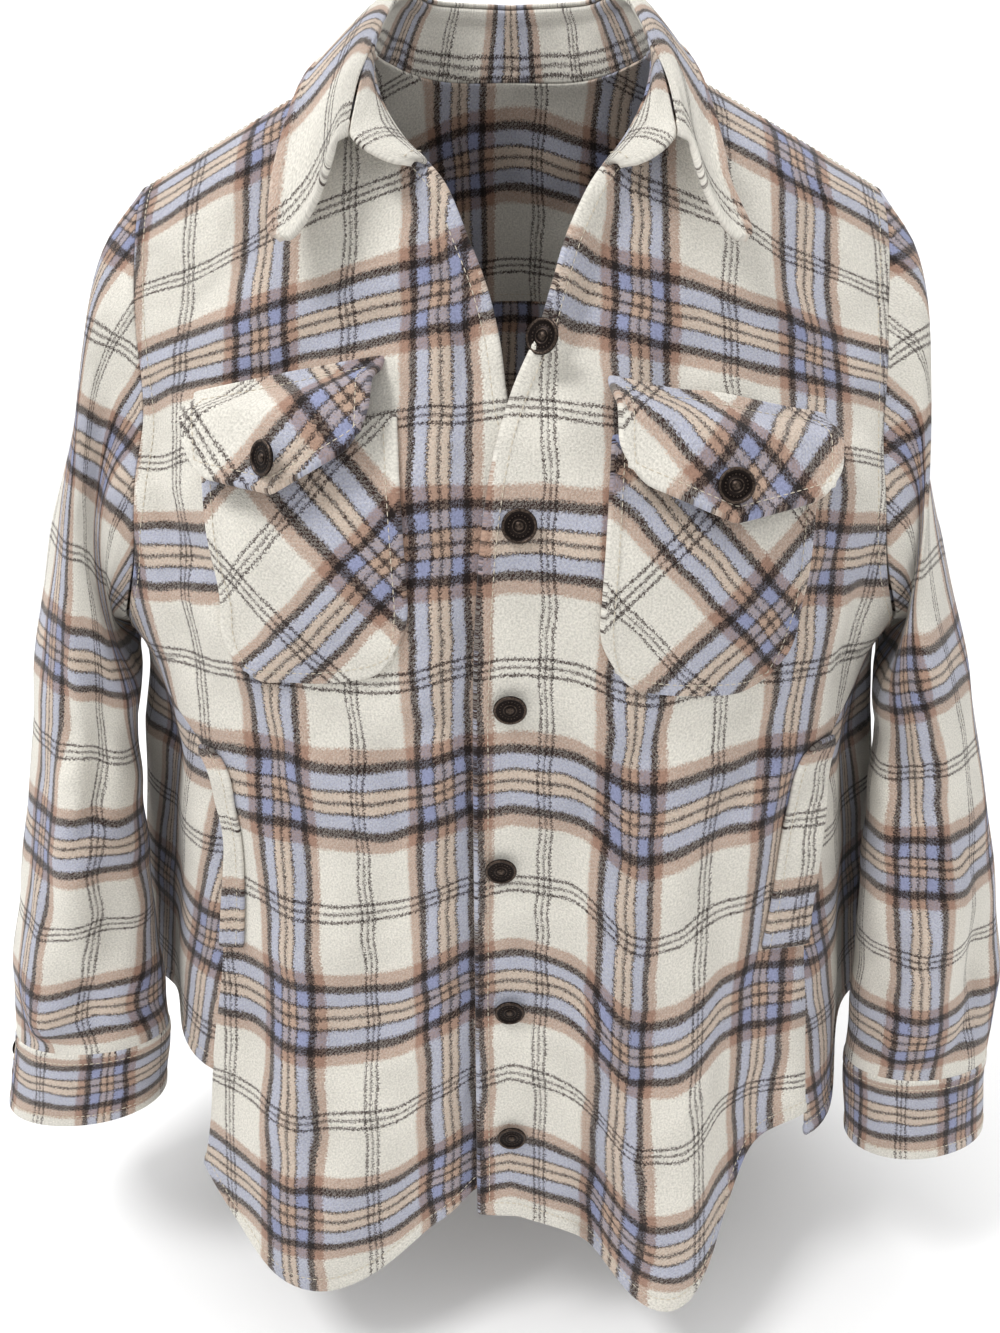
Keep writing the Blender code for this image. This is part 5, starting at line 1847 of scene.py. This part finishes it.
@dataclass
class Pockets:
    """Chest pockets with pointed flaps, all cut on the bias, and the side pockets' welts."""

    pattern: GarmentPattern
    wall: float = 0.002
    pouch: float = 0.004
    stand_off: float = 0.008
    point_drop: float = 0.016
    patch_radius: float = 0.022
    flap_radius: float = 0.012
    welt_radius: float = 0.008
    bias_degrees: float = 45.0
    # How far down the side seam a welt starts and ends
    welt_span: Span = (0.424, 0.552)
    # Corners in the front view, left and then right. x and height: top inner and outer, bottom outer and inner
    patches: tuple[Rows, Rows] = (
        ((0.0480, -0.165), (0.1480, -0.178), (0.1420, -0.290), (0.0420, -0.280)),
        ((0.0560, -0.156), (0.1510, -0.176), (0.1440, -0.286), (0.0500, -0.272)),
    )
    flaps: tuple[Rows, Rows] = (
        ((0.0470, -0.139), (0.1530, -0.158), (0.1510, -0.193), (0.0490, -0.182)),
        ((0.0630, -0.130), (0.1560, -0.148), (0.1490, -0.185), (0.0660, -0.168)),
    )
    welt_widths: Span = (0.024, 0.010)
    # Where the cloth's bands fall on each, left and then right: what to add across and along the grain
    patch_grain: tuple[Span, Span] = ((-0.003, -0.042), (-0.025, 0.032))
    flap_grain: tuple[Span, Span] = ((0.011, -0.022), (-0.019, 0.034))

    def place(self, corners: Rows, u: Array, v: Array) -> tuple[Array, Array]:
        """Find places inside four corners.

        Args:
            corners: x and height of each corner.
            u: From the inner edge to the outer one.
            v: From the top to the bottom.

        Returns:
            Their x and height.
        """
        inner, outer, low_outer, low_inner = (np.array(corner) for corner in corners)
        u, v = u[..., None], v[..., None]
        spot = mix(mix(inner, outer, u), mix(low_inner, low_outer, u), v)
        return spot[..., 0], spot[..., 1]

    def on_front(self, side: Side, x: Array, height: Array, lift: Array) -> Array:
        """Points over a front.

        Args:
            side: Which front.
            x: Their distance from the centre line.
            height: Their height.
            lift: How far they are off the form.

        Returns:
            The points.
        """
        torso = self.pattern.torso
        down = torso.down_at(x, height)
        return torso.point(side.value * torso.turn_at(x, down), down, lift)

    def patch(self, side: Side, u: Array, v: Array) -> tuple[Array, Array]:
        """Points of a chest pocket and their place on the cloth.

        Args:
            side: Which side's.
            u: From its first edge to its last, towards the left.
            v: From the top to the bottom.

        Returns:
            The points and places.
        """
        corners = side.pick(self.patches)
        width = corners[1][0] - corners[0][0]
        u, v = rounded(u, v, (0.10, 0.115), {(0, 1): self.patch_radius, (1, 1): self.patch_radius})
        across = 1 - u if side is Side.RIGHT else u
        x, height = self.place(corners, across, v)
        bowed = np.sin(np.pi * np.clip(across, 0, 1))
        x = x - 0.10 * ease(0.72, 1.0, v) * (2 * across - 1) * np.abs(2 * across - 1) ** 2 * width * 0.5
        height = height - 0.004 * v * bowed
        pouch = self.pouch * bowed * np.sin(np.pi * (1 - v) * 0.5 + 0.3) ** 2
        lift = self.wall + 0.0009 + np.maximum(pouch, 0.0) * (1 - v * v)
        middle = (corners[0][0] + corners[2][0]) / 2
        grain = side.pick(self.patch_grain)
        cloth = bias(side.value * (x - middle), -height - 0.225, -self.bias_degrees * side.value, grain)
        return self.on_front(side, x, height, lift), cloth

    def flap_lift(self, side: Side, across: Array, v: Array) -> Array:
        """How far a flap stands off its front.

        Args:
            side: Which flap.
            across: From its inner edge to its outer one.
            v: From its seam to its point.

        Returns:
            Metres.
        """
        over_pocket = 2 * self.wall + 0.0006 + self.pouch
        free = self.stand_off * side.pick((1.0, 1.2))
        risen = mix(self.wall + 0.0003, over_pocket + free, ease(0.0, 0.45, v))
        return risen + 0.002 * np.sin(np.pi * across)

    def flap(self, side: Side, u: Array, v: Array) -> tuple[Array, Array]:
        """Points of a pocket flap and their place on the cloth.

        Args:
            side: Which side's.
            u: From its first edge to its last, towards the left.
            v: From its seam to its point.

        Returns:
            The points and places.
        """
        corners = side.pick(self.flaps)
        u, v = rounded(u, v, (0.10, 0.040), {(0, 1): self.flap_radius, (1, 1): self.flap_radius})
        across = 1 - u if side is Side.RIGHT else u
        x, height = self.place(corners, across, v)
        height = height - self.point_drop * v * (1 - np.abs(2 * across - 1)) ** 0.9
        middle = (corners[0][0] + corners[1][0]) / 2
        grain = side.pick(self.flap_grain)
        cloth = bias(side.value * (x - middle), -height - 0.165, -self.bias_degrees * side.value, grain)
        return self.on_front(side, x, height, self.flap_lift(side, across, v)), cloth

    def welt(self, side: Side, u: Array, v: Array) -> tuple[Array, Array]:
        """Points of a side pocket's welt and their place on the cloth.

        Args:
            side: Which side's.
            u: From its first edge to its last, towards the left.
            v: From the top to the bottom.

        Returns:
            The points and places.
        """
        width = side.pick(self.welt_widths)
        radius = min(self.welt_radius, width * 0.45)
        u, v = rounded(u, v, (width, 0.128), {(0, 0): radius, (1, 0): radius})
        across = 1 - u if side is Side.RIGHT else u
        down = mix(*self.welt_span, v)
        seam = self.pattern.seam_turn(side, down) - 3 * self.pattern.seam_degrees
        turn = side.value * (seam - math.degrees(width / 0.19) * (1 - across))
        points = self.pattern.torso.point(turn, down, self.wall + 0.0006 + 0.002 * across)
        return points, np.stack((across * width + 0.030, down - 0.409), axis=-1)

    def build(self, wardrobe: Wardrobe, stitching: Stitching) -> None:
        """Make the pieces and their stitching.

        Args:
            wardrobe: The finishes.
            stitching: What collects the rows of stitches.
        """
        every = tuple(Border)
        for side in Side:
            rests, width = (f"front_{side.word}_cloth",), side.pick(self.welt_widths)
            patch = ClothPiece(
                f"chest_pocket_{side.word}", Slot.POCKET, partial(self.patch, side), every, (0.107, 0.125), 0.0129,
                rests_on=rests, cell=0.003, bead=0.0010,
            )
            patch.build(wardrobe, stitching, [(border, 0.005, (0.005, 0.005)) for border in every[1:]])
            flap = ClothPiece(
                f"pocket_flap_{side.word}", Slot.TRIM, partial(self.flap, side), every, (0.116, 0.064), 0.0064,
                rests_on=rests, cell=0.0025, bead=0.0016,
            )
            flap.build(wardrobe, stitching, [(border, 0.006, (0.006, 0.006)) for border in every])
            welt = ClothPiece(
                f"side_welt_{side.word}", Slot.TRIM, partial(self.welt, side), every, (1.25 * width, 0.130),
                0.130 * width, rests_on=rests, cell=0.003, bead=0.0008, inset=min(0.006, width * 0.4),
            )
            welt.build(wardrobe, stitching, ((side.pick((Border.FIRST, Border.LAST)), 0.003, (0.004, 0.002)),))


@dataclass
class Buttons:
    """Cast buttons with a rim, a ring of dots and a domed middle, a generic design."""

    pattern: GarmentPattern
    body: Body
    sleeves: Sleeves
    pockets: Pockets
    radius: float = 8.5 * MM
    dots: int = 20
    segments: int = 48
    # Degrees that the buttons hang, and the turn from one button's pattern to the next in radians
    droop: float = 10.0
    spin: float = 0.7
    # x and height of each front button's middle
    front_places: Rows = (
        (0.0150, -0.123), (0.0030, -0.203), (-0.0010, -0.294),
        (-0.0055, -0.388), (-0.0005, -0.480), (0.0010, -0.566),
    )
    # x and height, left then right
    flap_places: Rows = ((0.0990, -0.190), (0.1080, -0.180))
    # Degrees that a button leans on its loose shank, towards the wearer's right
    leans: dict[str, float] = field(
        default_factory=lambda: {"front_button_1": 32.0, "flap_button_right": 34.0, "flap_button_left": 18.0}
    )
    # Distance from the middle as a share of the radius, height in millimetres, and how rubbed it is
    profile: Rows = (
        (0.00, 3.70, 1.0), (0.14, 3.60, 1.0), (0.24, 3.20, 0.8), (0.28, 2.75, 0.0), (0.33, 2.70, 0.0),
        (0.36, 3.00, 0.9), (0.40, 3.00, 0.9), (0.43, 2.70, 0.0), (0.74, 2.60, 0.0), (0.80, 2.80, 0.3),
        (0.84, 3.50, 1.0), (0.90, 3.70, 1.0), (0.96, 3.45, 1.0), (1.00, 2.80, 0.6), (0.985, 2.00, 0.1),
        (0.90, 1.55, 0.0), (0.36, 1.40, 0.0), (0.31, 0.90, 0.0), (0.30, 0.00, 0.0), (0.00, 0.00, 0.0),
    )

    def turned_mesh(self) -> bpy.types.Mesh:
        """Turn the profile round its axis.

        Returns:
            A closed mesh along +Z with the "raised" attribute.
        """
        count = self.segments
        angles = np.linspace(0, 2 * np.pi, count, endpoint=False)
        vertices, raised, rings = [], [], []
        for share, height, rub in self.profile:
            start, r = len(vertices), share * self.radius
            # The profile's two ends are single points on the axis
            spots = angles if share else angles[:1]
            vertices += [(r * math.cos(a), r * math.sin(a), height * MM) for a in spots]
            raised += [rub] * len(spots)
            rings.append([start + n % len(spots) for n in range(count)])
        faces = []
        for inner, outer in zip(rings, rings[1:]):
            for n in range(count):
                m = (n + 1) % count
                faces.append(tuple(dict.fromkeys((inner[n], outer[n], outer[m], inner[m]))))
        mesh = bpy.data.meshes.new("button")
        mesh.from_pydata(vertices, [], faces)
        mesh.attributes.new("raised", "FLOAT", "POINT").data.foreach_set("value", raised)
        mesh.shade_smooth()
        return mesh

    def dotted_tree(self) -> Tree:
        """Build the nodes that add a ring of dots to a button.

        Returns:
            The node tree, with its sizes and material as named inputs.
        """
        sizes = {name: "Float" for name in ("Ring radius", "Dot radius", "Height")}
        inputs = {"Button": "Geometry", "Dots": "Int", **sizes, "Metal": "Material"}
        tree, given = node_group("Ring of dots", inputs, "Dotted")
        circle = {"Vertices": given["Dots"], "Radius": given["Ring radius"]}
        ring = add_node(tree, "GeometryNodeMeshCircle", None, circle).outputs["Mesh"]
        up = add_node(tree, "ShaderNodeCombineXYZ", None, {2: given["Height"]}).outputs[0]
        lifted = add_node(tree, "GeometryNodeSetPosition", None, {"Geometry": ring, "Offset": up}).outputs[0]
        dot = {"Segments": 8, "Rings": 6, "Radius": given["Dot radius"]}
        ball = add_node(tree, "GeometryNodeMeshUVSphere", None, dot).outputs["Mesh"]
        laid = add_node(tree, "GeometryNodeInstanceOnPoints", None, {"Points": lifted, "Instance": ball})
        real = add_node(tree, "GeometryNodeRealizeInstances", None, {0: laid.outputs[0]})
        smooth = add_node(tree, "GeometryNodeSetShadeSmooth", None, {"Geometry": real.outputs[0]})
        kind, value = {"data_type": "FLOAT", "domain": "POINT"}, {"Name": "raised", "Value": 1.0}
        rubbed = add_node(tree, "GeometryNodeStoreNamedAttribute", kind, {"Geometry": smooth.outputs[0], **value})
        joined = add_node(tree, "GeometryNodeJoinGeometry", None, {0: given["Button"]})
        tree.links.new(rubbed.outputs[0], joined.inputs[0])
        metal = {"Geometry": joined.outputs[0], "Material": given["Metal"]}
        dressed = add_node(tree, "GeometryNodeSetMaterial", None, metal)
        add_node(tree, "NodeGroupOutput", None, {0: dressed.outputs[0]})
        return tree

    def places(self) -> list[tuple[str, Array, Array]]:
        """Find where each button sits.

        Returns:
            Each button's node, the middle of its back, and the direction that it faces.
        """
        torso, cut = self.pattern.torso, self.pattern
        droop = np.array((0.0, 0.0, -math.tan(math.radians(self.droop))))
        found = []
        for number, (x, height) in enumerate(self.front_places, 1):
            down = torso.down_at(np.array(x), np.array(height))
            turn = torso.turn_at(np.array(x), down)
            lift = 0.0016 + 0.91 * self.body.edge_roll(Side.LEFT, x - cut.front_edge(Side.LEFT, down), down)
            facing = torso.normal(turn, down) + droop
            found.append((f"front_button_{number}", torso.point(turn, down, lift), facing))
        for side in Side:
            x, height = side.pick(self.flap_places)
            down = torso.down_at(np.array(x), np.array(height))
            turn = side.value * torso.turn_at(np.array(x), down)
            lift = self.pockets.flap_lift(side, np.array(0.5), np.array(0.8)) + 0.0017
            facing = torso.normal(turn, down) + droop
            found.append((f"flap_button_{side.word}", torso.point(turn, down, lift), facing))
        form = self.sleeves.form
        for side in Side:
            turn = np.array((side.pick(self.sleeves.lap_starts) + 1) * self.sleeves.column % 360)
            along = np.array(1.064)
            spot = form.point(side, along, turn, 0.0048)
            outer_x, _, inner_x, _, y, _ = smooth_rows(form.rings, along)
            middle = np.array((side.value * (outer_x + inner_x) / 2, y, spot[2]))
            found.append((f"cuff_button_{side.word}", spot, spot - middle))
        return found

    def build(self, wardrobe: Wardrobe) -> None:
        """Make one button with Geometry Nodes, and place a copy at each node.

        Args:
            wardrobe: The finishes.
        """
        sizes = {"Dots": self.dots, "Ring radius": 0.60 * self.radius, "Dot radius": 0.42 * MM, "Height": 2.62 * MM}
        blank = new_object("button_blank", self.turned_mesh())
        master = grown_mesh(blank, self.dotted_tree(), {**sizes, "Metal": wardrobe.bronze})
        for number, (node, spot, facing) in enumerate(self.places()):
            mesh = master.copy()
            lean = self.leans.get(node, 0.0)
            facing = unit(facing) + np.array((-math.tan(math.radians(lean)), 0.0, 0.0))
            # Each 30 degrees of lean lift the button 1.2 mm, so that its rim stays clear of the cloth
            spot = spot + unit(facing) * 0.0012 * lean / 30
            turned = Vector(facing).to_track_quat("Z", "Y").to_matrix().to_4x4()
            spun = Matrix.Rotation(self.spin * number, 4, "Z")
            mesh.transform(Matrix.Translation(Vector(spot)) @ turned @ spun)
            button = new_object(f"{node}_cast", mesh)
            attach(button, BODY)
            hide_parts(node)
            LOG.info("%s: %d faces", button.name, len(mesh.polygons))
        bpy.data.meshes.remove(master)


# The studio


@dataclass
class Studio:
    """A pale floor, soft light, and the camera at the photograph's angle."""

    camera_place: Place = (-0.006, -0.58, -0.11)
    camera_pitch: float = 70.0
    lens: float = 26.0
    floor_height: float = -0.745
    floor_reach: float = 6.0
    chest: Place = (0.0, 0.0, -0.30)
    # Each lamp's place, the length of its side in metres and its power in watts
    lamps: tuple[tuple[str, Place, float, float], ...] = (
        ("key light", (-1.0, -0.8, 1.45), 0.55, 26.0),
        ("fill light", (1.3, -1.3, 0.3), 1.4, 2.5),
        ("top light", (0.2, 0.3, 1.6), 1.0, 2.0),
    )

    def light(self) -> None:
        """Add the square soft lights and the white surroundings."""
        for name, place, size, power in self.lamps:
            data = bpy.data.lights.new(name, "AREA")
            data.size, data.energy = size, power
            lamp = new_object(name, data)
            lamp.location = place
            lamp.rotation_euler = (Vector(self.chest) - Vector(place)).to_track_quat("-Z", "Y").to_euler()
        world = bpy.data.worlds.new("studio")
        world.use_nodes = True
        tree = world.node_tree
        # A bright wall and ceiling behind the garment, and a dimmer room before it
        way = add_node(tree, "ShaderNodeTexCoord").outputs["Generated"]
        parts = add_node(tree, "ShaderNodeVectorMath", {"operation": "DOT_PRODUCT"}, {0: way, 1: (0.0, 0.6, 0.8)})
        light = spread(tree, parts.outputs["Value"], (-0.5, 0.5), (0.30, 1.2))
        set_inputs(tree, tree.nodes["Background"], {"Strength": light, "Color": (1.0, 1.0, 1.0, 1.0)})
        bpy.context.scene.world = world
        # White paper stays white, and dark yarn stays dark
        bpy.context.scene.view_settings.view_transform = "Standard"

    def build(self) -> None:
        """Set up the camera, the floor and the light."""
        data = bpy.data.cameras.new("camera")
        data.lens, data.sensor_width, data.clip_start = self.lens, 36.0, 0.02
        camera = new_object("camera", data)
        camera.location = self.camera_place
        camera.rotation_euler = (math.radians(self.camera_pitch), 0.0, 0.0)
        bpy.context.scene.camera = camera
        mesh = bpy.data.meshes.new("floor")
        far, low = self.floor_reach, self.floor_height
        mesh.from_pydata([(-far, -far, low), (far, -far, low), (far, far, low), (-far, far, low)], [], [(0, 1, 2, 3)])
        mesh.materials.append(PaleFloor().material())
        new_object("floor", mesh)
        self.light()
        LOG.info("studio: camera, floor and three soft lights")


def main() -> None:
    """Build the studio and then the garment, part by part."""
    logging.basicConfig(level=logging.INFO, format="%(message)s")
    Studio().build()
    wardrobe, stitching = Wardrobe(), Stitching()
    pattern = GarmentPattern(TorsoForm())
    body, sleeves, pockets = Body(pattern), Sleeves(SleeveForm(pattern)), Pockets(pattern)
    for part in (body, sleeves, Collar(pattern), pockets):
        part.build(wardrobe, stitching)
    stitching.build(wardrobe.thread)
    Buttons(pattern, body, sleeves, pockets).build(wardrobe)


if __name__ == "__main__":
    main()
